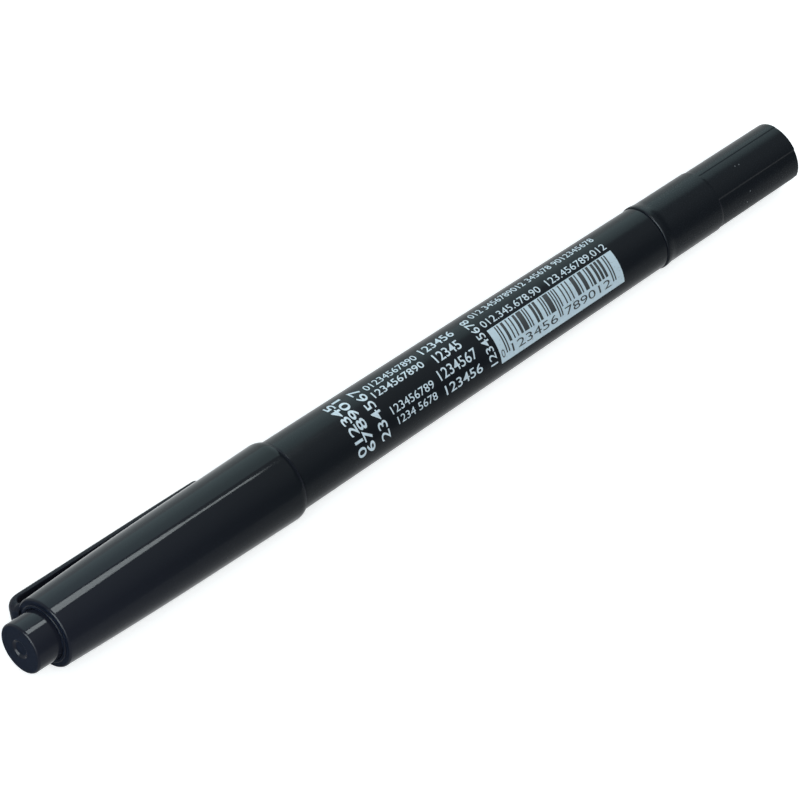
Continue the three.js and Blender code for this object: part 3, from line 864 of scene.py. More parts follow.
def short_cap_outline(size):
    """Section of the short cap: mouth bead, collar, rows of points for the run-out, end and bore."""
    bead, bore = size.bead_diameter / 2, size.mouth_diameter / 2 - size.wall
    collar = SHORT_MOUTH + size.bead_width
    soft, slope = size.bead_round, size.bead_slope / 2
    band = SHORT_MOUTH + size.collar_length
    rows = np.linspace(band, band + size.run_out, RUN_OUT_ROWS)
    return rounded([
        (SHORT_MOUTH, bore, EASED),
        (SHORT_MOUTH, bead, soft),
        (collar - slope, bead, soft, SOFT),
        (collar + slope, short_cap_radius(size, collar + slope), SOFT),
        *[(x, short_cap_radius(size, x)) for x in rows],
        (SHORT_END, short_cap_radius(size, SHORT_END), size.edge_round),
        (SHORT_END, 0),
        (SHORT_END - size.end_wall, 0),
        (SHORT_END - size.end_wall, bore, EASED),
    ])


def smooth_step(value):
    """0 below 0, 1 above 1, and 3v^2 - 2v^3 between."""
    v = np.clip(value, 0, 1)
    return v * v * (3 - 2 * v)


BORE_FADE = 0.6 * MM  # height over the bore in which the steps fade out
DUST = ((139.6, -19), (140.3, -17.5), (139.9, 35), (139.1, 53))  # millimetres from the knob, degrees


def step_depth_at(size, angle):
    """How far the stepped band lies under the collar: a steep fall at each step, then an even rise.

    Every third step is a lower one, which starts a little past its even place.
    """
    pitch = 2 * math.pi / size.step_count
    turns = (angle - CLIP_TURN - size.clip_to_step) / pitch
    past = turns % 1 * pitch
    deep = np.interp(past, [0, size.step_angle, pitch], [0, size.step_depth, 0])
    fall = size.low_offset + size.low_angle
    low = np.interp(past, [0, size.low_offset, fall, pitch], [0, 0, size.low_depth, 0])
    return np.where(np.floor(turns) % 3 == 1, low, deep)


def dust_places(size, facing):
    """Where the specks of dust lie on the stepped band."""
    x, degrees = np.array(DUST).T
    x = KNOB_FACE + x * MM
    angle = facing + np.radians(degrees)
    return round_axis(x, short_cap_radius(size, x) - step_depth_at(size, angle), angle).tolist()


def stepped(size):
    """Shape of the short cap's stepped band.

    The radius drops by the depth of the band at each angle, times a smooth step along x over the
    run-out. The drop fades out over BORE_FADE towards the bore, which keeps its radius.
    """
    bore = size.mouth_diameter / 2 - size.wall
    start = SHORT_MOUTH + size.collar_length

    def shape(x, r, angle):
        along = smooth_step((x - start) / size.run_out)
        outside = np.clip((r - bore) / BORE_FADE, 0, 1)
        return r - step_depth_at(size, angle) * along * outside

    return shape


def vented(size, inner, outer):
    """Shape of a holder's air channels between two places along the pen.

    The radius drops by the channel's depth where the distance across from the channel's middle,
    r sin d, is under half the channel's width.
    """
    pitch = 2 * math.pi / size.vent_count

    def shape(x, r, angle):
        off = np.abs((angle + pitch / 2) % pitch - pitch / 2)
        in_channel = (r * np.sin(off) < size.vent_width / 2) & (x > inner) & (x < outer)
        outside = r > size.bullet_diameter  # a radius between a holder's bore and its outside
        return r - size.vent_depth * (in_channel & outside)

    return shape


# The clip

# Stations along the clip and within its tip, and points on each stretch of its middle line
CLIP_STATIONS, TIP_STATIONS, CURVE_POINTS = 110, 24, 60
BEAD_ROWS, BEAD_SIDES = 17, 32


def clip_side(x, height, across):
    """Points at a height over the axis towards the clip, and a distance across that direction."""
    y = AXIS.y + height * math.cos(CLIP_TURN) - across * math.sin(CLIP_TURN)
    z = AXIS.z + height * math.sin(CLIP_TURN) + across * math.cos(CLIP_TURN)
    return np.stack([x, y, z], -1)


def clip_line(size, foot):
    """Middle line of the clip in the plane of (x, height over the axis), one point per station.

    It goes straight out of the end ring, round a quarter circle, and along a cubic Bezier curve whose
    handles are at the arm's height. Stations crowd together towards the tip.
    """
    half = size.thickness / 2
    bend = size.bend_radius - half
    x = CAP_END + half - size.proud
    top, arm, tip = (h - half for h in (size.root_height, size.arm_height, size.tip_height))
    tip_x = KNOB_FACE + size.tip_from_knob
    t = np.linspace(0, 1, CURVE_POINTS)[:, None]
    up = np.array([x, foot]) * (1 - t) + np.array([x, top - bend]) * t
    quarter = t * np.pi / 2
    curve = np.hstack([x + bend * (1 - np.cos(quarter)), top - bend + bend * np.sin(quarter)])
    reach = tip_x - x - bend
    a, b = np.array([x + bend, top]), np.array([x + bend + reach / 3, arm])
    c, d = np.array([x + bend + reach * 2 / 3, arm]), np.array([tip_x, tip])
    back = a * (1 - t) ** 3 + 3 * b * t * (1 - t) ** 2 + 3 * c * t * t * (1 - t) + d * t**3
    fine = np.concatenate([up[:-1], curve[:-1], back])
    run = np.concatenate([[0], np.cumsum(np.linalg.norm(np.diff(fine, axis=0), axis=1))])
    crowd = size.tip_corner * (1 - np.sin(np.linspace(0, np.pi / 2, TIP_STATIONS)))
    even = np.linspace(0, run[-1] - size.tip_corner, CLIP_STATIONS)
    stations = np.concatenate([even[:-1], run[-1] - crowd])
    line = np.stack([np.interp(stations, run, fine[:, 0]), np.interp(stations, run, fine[:, 1])], 1)
    return line, run[-1] - stations


def clip_grid(size, cap):
    """The clip: a D-shaped section carried along its middle line.

    The half width falls evenly from root to tip. Within the tip's corner radius it follows a quarter
    circle, and at the very end the whole section shrinks along another, which closes the surface.
    Near the end ring it widens by a fillet that fades as the square of the distance.
    """
    ring = cap.end_diameter / 2
    line, to_tip = clip_line(size, ring - size.sink - size.thickness / 4)
    wide, half = size.width / 2, size.thickness / 2
    inner, outer = EASED, size.edge_radius
    section = rounded([
        (-wide, -half, inner),
        (wide, -half, inner),
        (wide, half, outer),
        (-wide, half, outer),
    ])
    taper = size.tip_width / 2 + (wide - size.tip_width / 2) * to_tip / to_tip[0]
    corner = size.tip_corner
    inside = np.clip(corner - to_tip, 0, corner)
    plan = taper - corner + np.sqrt(corner**2 - inside**2)
    above = np.clip(line[:, 1] - ring, 0, size.flare) / size.flare
    plan = plan + size.flare * (1 - above) ** 2 * (to_tip > to_tip[0] / 2)
    close = np.clip(size.tip_round - to_tip, 0, size.tip_round) / size.tip_round
    shrink = np.sqrt(1 - close**2)
    along = unit(np.gradient(line, axis=0))
    out = np.stack([-along[:, 1], along[:, 0]], 1)
    across = section[None, :, 0] * (plan / wide * shrink)[:, None]
    lift = section[None, :, 1] * shrink[:, None]
    grid = clip_side(line[:, :1] + out[:, :1] * lift, line[:, 1:] + out[:, 1:] * lift, across)
    root = np.repeat(grid[:1].mean(1, keepdims=True), grid.shape[1], 1)
    return np.concatenate([root, grid])


def bead_grid(size, cap):
    """The bead under the clip's tip: a rod across the clip with rounded ends.

    Each end is half a radius long, and its radius falls as the square root of cos t while the distance
    across grows as sin t.
    """
    x = KNOB_FACE + size.tip_from_knob - size.bead_from_tip
    shoulder = CAP_END + cap.shoulder_length
    surface = taper(x, shoulder, CAP_MOUTH, cap.shoulder_diameter, cap.mouth_diameter)
    height = surface + size.bead_gap + size.bead_radius
    reach = (size.tip_width - size.edge_radius) / 2
    t = np.linspace(-np.pi / 2, np.pi / 2, BEAD_ROWS)
    end = size.bead_radius / 2
    across = np.sign(t) * (reach - end) + end * np.sin(t)
    radius = size.bead_radius * np.sqrt(np.cos(t))
    angle = np.linspace(0, 2 * np.pi, BEAD_SIDES, endpoint=False)
    along = x + radius[:, None] * np.cos(angle)
    up = height + radius[:, None] * np.sin(angle)
    return clip_side(along, up, np.repeat(across[:, None], len(angle), 1))


# Print on the barrel. Places are millimetres from the knob's face, and angles are degrees round the
# axis from the line that faces the camera.

# Each row is (digits, place from, place to, angle from, angle to, boldness)
NUMBERS_ALONG = (
    ("01234567890", 66.9, 76.9, -53.0, -40.0, 0.0),
    ("1234567890", 66.9, 76.75, -34.0, -21.5, 0.5),
    ("123456789", 67.75, 76.1, 1.0, 14.0, 0.0),
    ("1234 5678", 68.1, 75.85, 20.0, 32.5, 0.0),
    ("123456", 78.0, 84.3, -56.0, -40.0, 0.5),
    ("12345", 78.65, 83.6, -31.5, -14.0, 1.0),
    ("1234567", 77.45, 84.9, -5.5, 12.0, 0.5),
    ("123456", 77.5, 84.8, 21.0, 37.0, 0.5),
    ("012 3456789012 345678 9012345678", 88.4, 113.1, -62.0, -48.0, 0.0),
    ("012.345.678.90  123.456789.012", 88.4, 113.3, -34.0, -20.5, 0.0),
)
NUMBERS_AROUND = (
    ("012345", 59.85, 61.4, -60.5, 46.0, 1.6),
    ("678901", 61.6, 63.15, -60.5, 46.0, 1.6),
    ("234567", 64.5, 66.2, -60.5, 43.0, 0.6),
    ("12345678", 86.35, 87.75, -56.5, 39.5, 0.6),
)
LABEL_ANGLES = (-15.0, 46.0)
BAR_ANGLES = (-13.5, 19.5)
GUARD_ANGLES = (-13.5, 33.0)
LABEL_NUMBER_ANGLES = (23.5, 37.5)
PATCH_ANGLE, PATCH_LENGTH = 2, 6 * MM  # degrees and length of one facet of an ink patch, at most
STRIP_ANGLE = 2.5  # degrees; flat numbers are cut in strips this wide before they are wrapped
ARC = 0.09  # millimetres of the barrel's surface in one degree

# The seven modules of each digit, from 0 to 9, in the left half of the bars
LEFT_BARS = "0001101 0011001 0010011 0111101 0100011 0110001 0101111 0111011 0110111 0001011".split()


def barrel_radius(barrel, x):
    """Outside radius of the barrel at x."""
    return taper(x, LONG_SHOULDER, SHORT_SHOULDER, barrel.diameter, barrel.end_diameter)


def camera_place(stage):
    """Where the camera stands, and the point that it looks at."""
    aim = Vector((stage.aim_x, stage.aim_y, AXIS.z))
    level = math.cos(stage.elevation)
    way = Vector((
        level * math.sin(stage.azimuth),
        -level * math.cos(stage.azimuth),
        math.sin(stage.elevation),
    ))
    return aim + way * stage.distance, aim


def facing_angle(stage):
    """Angle round the axis, from +Y towards +Z, of the line that faces the camera."""
    place = camera_place(stage)[0]
    return math.atan2(place.z - AXIS.z, place.y - AXIS.y)


def on_barrel(x, degrees, lift, barrel, facing):
    """Points on the barrel: x in metres, angle in degrees from the facing line, height over it."""
    return round_axis(x, barrel_radius(barrel, x) + lift, facing + np.radians(degrees))


def ink_patch(x_from, x_to, angles, lift, sink, barrel, facing):
    """One closed film of ink: a curved strip from angle to angle with a top, an underside and ends.

    The section runs over the top at height lift and back at depth sink. It is carried from x_from to
    x_to, and at both ends it folds flat onto its middle, which closes it.
    """
    steps = max(2, math.ceil((angles[1] - angles[0]) / PATCH_ANGLE) + 1)
    there = np.linspace(*angles, steps)
    degrees = np.concatenate([there, there[::-1]])
    height = np.concatenate([np.full(steps, lift), np.full(steps, -sink)])
    middle = np.full(2 * steps, (lift - sink) / 2)
    stations = max(2, math.ceil((x_to - x_from) / PATCH_LENGTH) + 1)
    along = np.concatenate([[x_from], np.linspace(x_from, x_to, stations), [x_to]])
    heights = np.stack([middle, *[height] * stations, middle])
    return on_barrel(np.repeat(along[:, None], 2 * steps, 1), degrees, heights, barrel, facing)


def bar_runs(number):
    """(first module, last module, guard or not) of each dark bar of a thirteen-digit code.

    Each digit is seven modules: the left six as in LEFT_BARS, and the right six with light and dark
    changed over. Three thin guards stand at the start, in the middle and at the end.
    """
    flip = str.maketrans("01", "10")
    left = "".join(LEFT_BARS[int(digit)] for digit in number[:6])
    right = "".join(LEFT_BARS[int(digit)].translate(flip) for digit in number[6:])
    guards = {0, 2, 46, 48, 92, 94}
    dark = np.array([bit == "1" for bit in "101" + left + "01010" + right + "101"] + [False])
    change = np.flatnonzero(np.diff(np.concatenate([[False], dark])))
    return [(a, b, a in guards) for a, b in zip(change[::2], change[1::2])]


def number_mesh(text, bold):
    """Flat numbers as a solid mesh, one unit tall, with its depth from -1 to 1."""
    curve = bpy.data.curves.new("numbers", "FONT")
    curve.body = text
    curve.extrude = 1
    curve.offset = bold
    curve.resolution_u = 4
    writing = bpy.data.objects.new("numbers", curve)
    mesh = bpy.data.meshes.new_from_object(writing)
    bpy.data.objects.remove(writing)
    bpy.data.curves.remove(curve)
    return mesh


def points_of(mesh):
    """A mesh's points, one in each row."""
    flat = np.empty(len(mesh.vertices) * 3, np.float32)
    mesh.vertices.foreach_get("co", flat)
    return flat.reshape(-1, 3)


def cut_in_strips(mesh, axis, width):
    """Cuts a flat mesh into strips across an axis, so that it can be wrapped round the barrel."""
    work = bmesh.new()
    work.from_mesh(mesh)
    bmesh.ops.remove_doubles(work, verts=work.verts, dist=1e-5)
    places = [v.co[axis] for v in work.verts]
    normal = Vector((axis == 0, axis == 1, 0))
    for place in np.arange(min(places) + width, max(places), width):
        everything = work.verts[:] + work.edges[:] + work.faces[:]
        bmesh.ops.bisect_plane(work, geom=everything, plane_co=normal * place, plane_no=normal)
    work.to_mesh(mesh)
    work.free()
    return mesh


def wrapped_numbers(row, around, lift, print_size, barrel, facing):
    """Numbers wrapped on the barrel inside a box of places and angles, from a row as in NUMBERS_ALONG.

    Along the pen they read towards +x with their heads towards smaller angles. Around it they read
    towards smaller angles with their heads towards -x. The flat mesh's box is stretched over that box,
    and its depth goes from the sink below the barrel to the lift above it.
    """
    text, x_from, x_to, angle_from, angle_to, bold = row
    tall = (x_to - x_from) if around else ARC * (angle_to - angle_from)
    mesh = number_mesh(text, bold * print_size.bold / MM / max(tall, 0.5))
    strips = (angle_to - angle_from) / STRIP_ANGLE
    low, high = points_of(mesh).min(0), points_of(mesh).max(0)
    axis = 0 if around else 1
    cut_in_strips(mesh, axis, (high[axis] - low[axis]) / strips)
    u, v, depth = ((points_of(mesh) - low) / (high - low)).T.astype(float)
    height = depth * (lift + print_size.sink) - print_size.sink
    if around:
        x, degrees = x_to - v * (x_to - x_from), angle_to - u * (angle_to - angle_from)
    else:
        x, degrees = x_from + u * (x_to - x_from), angle_to - v * (angle_to - angle_from)
    place = on_barrel(KNOB_FACE + x * MM, degrees, height, barrel, facing)
    mesh.vertices.foreach_set("co", place.astype(np.float32).ravel())
    return mesh


def joined(name, meshes):
    """One closed mesh from several."""
    work = bmesh.new()
    for mesh in meshes:
        work.from_mesh(mesh)
        bpy.data.meshes.remove(mesh)
    whole = bpy.data.meshes.new(name)
    work.to_mesh(whole)
    work.free()
    return closed(whole)


# Operators


class MARKER_OT_long_cap(Operator):
    """Adds the long cap: its shell, its pocket clip and the knob in its end"""

    bl_idname = "marker.long_cap"
    bl_label = "Long cap"

    def execute(self, context):
        scene = context.scene
        size, clip = scene.marker_long_cap, scene.marker_clip
        finish = scene.marker_finish
        plastic, dull = polished_polypropylene(finish), dull_polypropylene(finish)
        turned_piece("long_cap_shell", long_cap_outline(size), plastic, "long_cap")
        turned_piece("long_cap_plug", knob_outline(size), plastic, "long_cap", ring=False)
        arm = closed(grid_mesh("pocket_clip", [clip_grid(clip, size), bead_grid(clip, size)], False))
        add_piece("pocket_clip", arm, dull, "long_cap", ("long_cap_shell",))
        return {"FINISHED"}


class MARKER_OT_barrel(Operator):
    """Adds the barrel with its two necks"""

    bl_idname = "marker.barrel"
    bl_label = "Barrel"

    def execute(self, context):
        scene = context.scene
        plastic = satin_polypropylene(scene.marker_finish)
        turned_piece("barrel_tube", barrel_outline(scene.marker_barrel), plastic, "pen")
        return {"FINISHED"}


class MARKER_OT_print(Operator):
    """Adds the plain numbers and the bar label that are printed on the barrel"""

    bl_idname = "marker.print"
    bl_label = "Print"

    def execute(self, context):
        scene = context.scene
        size, barrel, finish = scene.marker_print, scene.marker_barrel, scene.marker_finish
        facing = facing_angle(scene.marker_stage)
        fit = (size, barrel, facing)
        pale = pad_print_ink("pale pad-print ink", rgba(finish.ink), finish)
        label_ink = pad_print_ink("label pad-print ink", rgba(finish.label), finish)
        dark = pad_print_ink("bare dark bars", rgba(finish.plastic), finish)
        lines = [wrapped_numbers(row, False, size.ink, *fit) for row in NUMBERS_ALONG]
        lines += [wrapped_numbers(row, True, size.ink, *fit) for row in NUMBERS_AROUND]
        add_piece("printed_numbers", joined("printed_numbers", lines), pale, "pen")
        start, stop = KNOB_FACE + size.label_from, KNOB_FACE + size.label_to
        patch = ink_patch(start, stop, LABEL_ANGLES, size.ink, size.sink, barrel, facing)
        add_piece("label_ground", closed(grid_mesh("label_ground", [patch], False)), label_ink, "pen")
        bars = []
        for first, last, guard in bar_runs(size.number):
            x = KNOB_FACE + size.bars_from + np.array([first, last]) * size.module
            angles = GUARD_ANGLES if guard else BAR_ANGLES
            bars.append(ink_patch(*x, angles, size.dark_ink, size.sink, barrel, facing))
        add_piece("label_bars", closed(grid_mesh("label_bars", bars, False)), dark, "pen")
        first, module = size.bars_from / MM, size.module / MM
        # The leading 0 stands before the first bar; the others start and end at modules of the code
        groups = (
            ("0", first - 0.95, first - 0.3),
            (size.number[:6], first + 5 * module, first + 44 * module),
            (size.number[6:], first + 51 * module, first + 90 * module),
        )
        digits = [
            wrapped_numbers((*group, *LABEL_NUMBER_ANGLES, 0.0), False, size.dark_ink, *fit)
            for group in groups
        ]
        add_piece("label_digits", joined("label_digits", digits), dark, "pen")
        return {"FINISHED"}


class MARKER_OT_nibs(Operator):
    """Adds the nibs, their holders and the steel sleeve, and finishes the felt and its film"""

    bl_idname = "marker.nibs"
    bl_label = "Nibs"

    def execute(self, context):
        scene = context.scene
        size, barrel, finish = scene.marker_nibs, scene.marker_barrel, scene.marker_finish
        plastic, fibre = satin_polypropylene(finish), soaked_fibre(finish)
        long_vents = vented(size, BARREL_FRONT, BARREL_FRONT + size.plug_length * 2)
        fine_vents = vented(size, BARREL_BACK - size.fine_plug_length * 2, BARREL_BACK)
        for name, outline, vents in (
            ("long_nib_holder", long_holder_outline(size, barrel), long_vents),
            ("fine_nib_holder", fine_holder_outline(size, barrel), fine_vents),
        ):
            turned_piece(name, outline, plastic, "pen", shape=vents)
        for name, outline in (("bullet_nib", bullet_outline(size)), ("fine_nib", fine_nib_outline(size))):
            turned_piece(name, outline, fibre, "pen", ring=False)
        turned_piece("fine_nib_sleeve", sleeve_outline(size), drawn_steel(finish), "pen")
        paint("ink_felt", fibre)
        paint("felt_film", wrapped_film())
        return {"FINISHED"}


class MARKER_OT_liners(Operator):
    """Adds the inner caps that seal round the two nib holders"""

    bl_idname = "marker.liners"
    bl_label = "Liners"

    def execute(self, context):
        scene = context.scene
        size, wax = scene.marker_liners, moulded_polyethylene(scene.marker_finish)
        long_radius = scene.marker_long_cap.liner_bore / 2 - SLIDE_GAP
        short_radius = scene.marker_short_cap.mouth_diameter / 2 - scene.marker_short_cap.wall - SLIDE_GAP
        for body, radius, (closed_at, open_at) in (
            ("long_cap", long_radius, ends("long_cap_liner")),
            ("short_cap", short_radius, ends("short_cap_liner")[::-1]),
        ):
            outline = liner_outline(size, closed_at, open_at, radius)
            turned_piece(body + "_liner", outline, wax, body, ring=False)
        return {"FINISHED"}


class MARKER_OT_short_cap(Operator):
    """Adds the short cap with its mouth bead, collar and stepped band"""

    bl_idname = "marker.short_cap"
    bl_label = "Short cap"

    def execute(self, context):
        scene = context.scene
        size = scene.marker_short_cap
        turned_piece(
            "short_cap_shell", short_cap_outline(size),
            handled_polypropylene(scene.marker_finish, dust_places(size, facing_angle(scene.marker_stage))),
            "short_cap", shape=stepped(size), sides=STEPPED_SIDES,
        )
        return {"FINISHED"}


# Stage

CAMERA_WHITE = 0.12  # glow that the camera alone sees on the table
SOFTBOX_ON_TABLE = 1.7  # radiance of the softbox's light on the table, at the softbox
BEAD_REST = 0.5 * MM  # from the short cap's mouth to where its bead rests on the table
TABLE_FLAT, TABLE_EDGE, TABLE_RIM = 2.6, 3, 0.35  # metres: radius of the flat part, edge, rim's height


def floor_material(finish, tint):
    """White laminate table: faintly mottled, and white where the camera or a reflection sees it.

    Lamps light it like any floor, which keeps the pen's shadow, and a plain white glow is added for
    camera, glossy and transmission rays. Reflections also see the softbox's light on it, which grows
    towards the softbox as the distance to the power 0.4.
    """
    material, tree = new_material("white laminate")
    place = add(tree, "TexCoord").outputs["Object"]
    mottle = add(tree, "TexNoise", inputs={"Vector": place, "Scale": per_metre(40), "Detail": 2.0})
    body = add(tree, "Mix", BLEND, {"Factor": mottle, "A": rgba(finish.floor), "B": linear("#ffffff")})
    lit = add(tree, "BsdfDiffuse", inputs={"Color": body})
    ray = add(tree, "LightPath").outputs
    shares = {
        "Is Camera Ray": finish.floor_glow + CAMERA_WHITE,
        "Is Glossy Ray": finish.floor_glow,
        "Is Transmission Ray": finish.floor_glow,
    }
    white = 0
    for kind, share in shares.items():
        white = add(tree, "Math", {"operation": "MULTIPLY_ADD"}, (ray[kind], share, white))
    towards = ramp(tree, "Object", "Y", 0.015, 0.6, 0, 1)
    rise = add(tree, "Math", {"operation": "POWER"}, (towards, 0.4))
    near = add(tree, "Math", {"operation": "MULTIPLY"}, (rise, SOFTBOX_ON_TABLE))
    near_softbox = add(tree, "Math", {"operation": "MULTIPLY"}, (near, ray["Is Glossy Ray"]))
    glow = add(tree, "Emission", inputs={"Strength": white})
    sheen = add(tree, "Emission", inputs={"Color": tint, "Strength": near_softbox})
    return ended(material, "AddShader", (lit, add(tree, "AddShader", inputs=(glow, sheen))))


def floor_grid():
    """A round table, flat up to a radius and rising by a smooth step to a low white rim at its edge.

    It leans by the pen's taper, so that the short cap's bead rests on it as the long cap's mouth does.
    """
    slope = TABLE_EDGE - TABLE_FLAT
    radius = np.concatenate([
        np.linspace(0, TABLE_FLAT, 14), np.linspace(TABLE_FLAT + slope / 8, TABLE_EDGE, 8),
    ])
    angle = np.linspace(0, 2 * np.pi, 96, endpoint=False)
    r = np.repeat(radius[:, None], len(angle), 1)
    x, y = r * np.cos(angle), r * np.sin(angle)
    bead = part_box("short_cap_shell")[0]
    lean = bead.z / (bead.x + BEAD_REST - CAP_MOUTH)
    rim = TABLE_RIM * smooth_step((r - TABLE_FLAT) / slope)
    return np.stack([x, y, (x - CAP_MOUTH) * lean + rim], -1)


def area_lamp(name, place, target, width, height, radiance):
    """A rectangular lamp. Its power is radiance * pi * area."""
    light = bpy.data.lights.new(name, "AREA")
    light.shape = "RECTANGLE"
    light.size, light.size_y = width, height
    light.energy = radiance * math.pi * width * height
    lamp = bpy.data.objects.new(name, light)
    lamp.matrix_world = looking(Vector(place), Vector(target))
    bpy.context.scene.collection.objects.link(lamp)
    return lamp


def looking(place, target):
    """Matrix of a lamp or a camera at a place that looks at a target."""
    return Matrix.Translation(place) @ (target - place).to_track_quat("-Z", "Y").to_matrix().to_4x4()


# Outline of the streak that the long cap shows, as (millimetres from the knob's face, degrees from
# the facing line); the window's corners are where the camera sees these points mirrored
WINDOW_STREAK = (
    (-6.0, -25.6), (4.0, -25.4), (16.7, -24.2), (29.0, -22.8), (30.0, -22.1), (42.0, -21.9), (43.8, -21.2),
    (43.8, -18.8), (42.4, -19.4), (41.0, -19.7), (30.0, -19.6), (29.0, -19.0), (16.7, -17.2), (4.0, -15.6),
    (-6.0, -15.6),
)
WINDOW_DISTANCE = 0.14  # metres from the pen's axis


def mirrored_places(stage, size):
    """Where the camera sees the streak's corners mirrored, on a plane WINDOW_DISTANCE from the axis.

    A corner's ray from the camera is turned back at the long cap: out = in - 2 (in . n) n, with n the
    cap's normal, and followed to the plane, which faces the axis in the streak's middle direction.
    """
    camera = np.array(camera_place(stage)[0])
    facing = facing_angle(stage)
    x, degrees = np.array(WINDOW_STREAK).T
    x = KNOB_FACE + x * MM
    shoulder = CAP_END + size.shoulder_length
    places = [CAP_END, shoulder, CAP_MOUTH]
    radii = np.array([size.end_diameter, size.shoulder_diameter, size.mouth_diameter]) / 2
    start, blend = (shoulder - CAP_END) * 0.5, (CAP_MOUTH - shoulder) * 0.3
    slope = np.interp(x, [shoulder - start, shoulder + blend], np.diff(radii) / np.diff(places))
    angle = facing + np.radians(degrees)
    normal = unit(np.stack([-slope, np.cos(angle), np.sin(angle)], 1))
    place = round_axis(x, np.interp(x, places, radii), angle)
    way_in = unit(place - camera)
    way_out = way_in - 2 * (way_in * normal).sum(1, keepdims=True) * normal
    middle = facing + 2 * np.radians(degrees.mean())
    plane = np.array([0, math.cos(middle), math.sin(middle)])
    run = (WINDOW_DISTANCE - (place - np.array(AXIS)) @ plane) / (way_out @ plane)
    return (place + way_out * run[:, None]).tolist()


def card(name, corner_places, tint, strength_of):
    """A bright card that only reflections see. strength_of(tree) gives how bright it is."""
    mesh = bpy.data.meshes.new(name)
    mesh.from_pydata(corner_places, [], [list(range(len(corner_places)))])
    material, tree = new_material(name + " glow")
    mesh.materials.append(ended(material, "Emission", {"Color": tint, "Strength": strength_of(tree)}))
    piece = bpy.data.objects.new(name, mesh)
    for ray in ("camera", "diffuse", "shadow"):
        setattr(piece, "visible_" + ray, False)
    bpy.context.scene.collection.objects.link(piece)
    return piece


def reflection_cards(stage, size):
    """What only reflections see.

    The window is what the long cap mirrors as its streak. The softbox stands behind the pen under a
    pale ceiling, and the side card stands past the knob and lights the rims.
    """
    left, right, back, front, top = -0.1, 0.78, 0.62, -0.9, 0.85
    past, side_front, side_back, side_low, side_top = -0.7, -0.7, 0.3, 0.05, 1.1
    bright, side_bright, room = stage.softbox, stage.side, rgba(stage.room_tint)
    return (
        card("window", mirrored_places(stage, size), linear("#eef9fb"), lambda tree: stage.window),
        card(
            "softbox", [(left, back, 0), (right, back, 0), (right, back, top), (left, back, top)],
            rgba(stage.softbox_tint), lambda tree: ramp(tree, "Object", "Z", 0, 0.25, bright * 0.75, bright),
        ),
        card(
            "ceiling", [(left, front, top), (right, front, top), (right, back, top), (left, back, top)],
            room, lambda tree: ramp(tree, "Object", "Y", -0.75, 0, bright * 0.18, bright * 0.46),
        ),
        card(
            "side",
            [(past, side_front, side_low), (past, side_back, side_low), (past, side_back, side_top),
             (past, side_front, side_top)],
            room, lambda tree: ramp(tree, "Object", "Y", -0.5, 0, side_bright * 0.25, side_bright),
        ),
    )


def studio_world(stage):
    """A pale room, lighter on the softbox's side (+Y) and along the horizon, and dim past the short cap."""
    world = bpy.data.worlds.new("pale room")
    world.use_nodes = True
    tree = world.node_tree
    tree.nodes.clear()
    side = ramp(tree, "Generated", "Y", -0.75, 0.1, 0.5, 0.95)
    horizon = ramp(tree, "Generated", "Z", 0.05, 0.3, 0.35, 0)
    dark_end = ramp(tree, "Generated", "X", 0.55, 0.8, 1, 0.3)
    both = add(tree, "Math", {"operation": "ADD"}, (side, horizon))
    level = add(tree, "Math", {"operation": "MULTIPLY"}, (both, dark_end))
    room = add(tree, "Background", inputs={"Color": rgba(stage.room_tint), "Strength": level})
    add(tree, "OutputWorld", inputs={"Surface": room})
    return world


def add_camera(stage):
    """The photograph's camera."""
    data = bpy.data.cameras.new("camera")
    data.lens = stage.lens
    data.sensor_width = 36
    data.clip_end = 20
    camera = bpy.data.objects.new("camera", data)
    camera.matrix_world = looking(*camera_place(stage)) @ Matrix.Rotation(stage.roll, 4, "Z")
    bpy.context.scene.collection.objects.link(camera)
    return camera


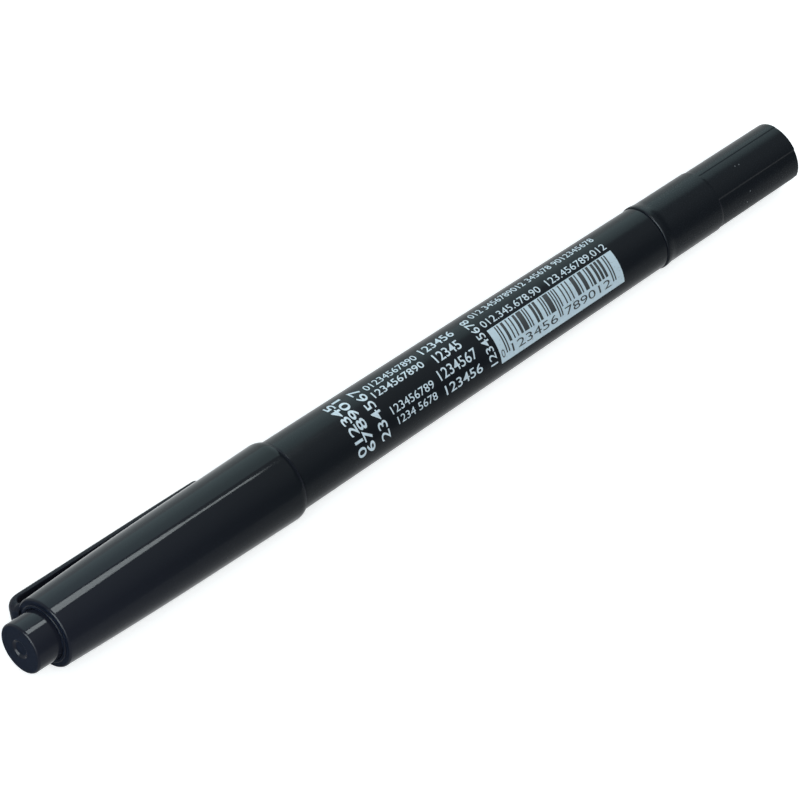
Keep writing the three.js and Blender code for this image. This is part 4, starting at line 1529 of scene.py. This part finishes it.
class MARKER_OT_stage(Operator):
    """Adds the table, the lamps, the room and the camera"""

    bl_idname = "marker.stage"
    bl_label = "Stage"

    def execute(self, context):
        scene = context.scene
        stage = scene.marker_stage
        mesh = closed(grid_mesh("table", [floor_grid()], False))
        mesh.materials.append(floor_material(scene.marker_finish, rgba(stage.softbox_tint)))
        table = bpy.data.objects.new("table", mesh)
        scene.collection.objects.link(table)
        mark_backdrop(table, *reflection_cards(stage, scene.marker_long_cap))
        area_lamp("overhead", (-0.75, -0.45, 1.1), (0, 0, 0), width=0.9, height=0.9, radiance=stage.overhead)
        scene.world = studio_world(stage)
        scene.camera = add_camera(stage)
        scene.view_settings.view_transform = "Standard"
        return {"FINISHED"}


class MARKER_PT_panel(Panel):
    """Lists the marker's operators"""

    bl_idname = "MARKER_PT_panel"
    bl_label = "Double-ended marker"
    bl_space_type = "VIEW_3D"
    bl_region_type = "UI"
    bl_category = "Marker"

    def draw(self, context):
        for operator in OPERATORS:
            self.layout.operator(operator.bl_idname)


OPERATORS = (
    MARKER_OT_stage,
    MARKER_OT_long_cap,
    MARKER_OT_barrel,
    MARKER_OT_print,
    MARKER_OT_nibs,
    MARKER_OT_liners,
    MARKER_OT_short_cap,
)


def register():
    """Registers the sizes, the operators and the panel."""
    for name, group in GROUPS.items():
        bpy.utils.register_class(group)
        setattr(bpy.types.Scene, name, PointerProperty(type=group))
    for operator in OPERATORS:
        bpy.utils.register_class(operator)
    bpy.utils.register_class(MARKER_PT_panel)


def unregister():
    """Undoes register."""
    bpy.utils.unregister_class(MARKER_PT_panel)
    for operator in reversed(OPERATORS):
        bpy.utils.unregister_class(operator)
    for name, group in GROUPS.items():
        delattr(bpy.types.Scene, name)
        bpy.utils.unregister_class(group)


def corners(box):
    """A box as plain lists."""
    return [list(corner) for corner in box]


def main():
    """Builds the marker and its stage, and works out the frame's box and the finished box."""
    frame_box = corners(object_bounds())
    register()
    for operator in OPERATORS:
        group, name = operator.bl_idname.split(".")
        getattr(getattr(bpy.ops, group), name)()
    {"frame": frame_box, "visual": corners(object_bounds())}


if __name__ == "__main__":
    main()
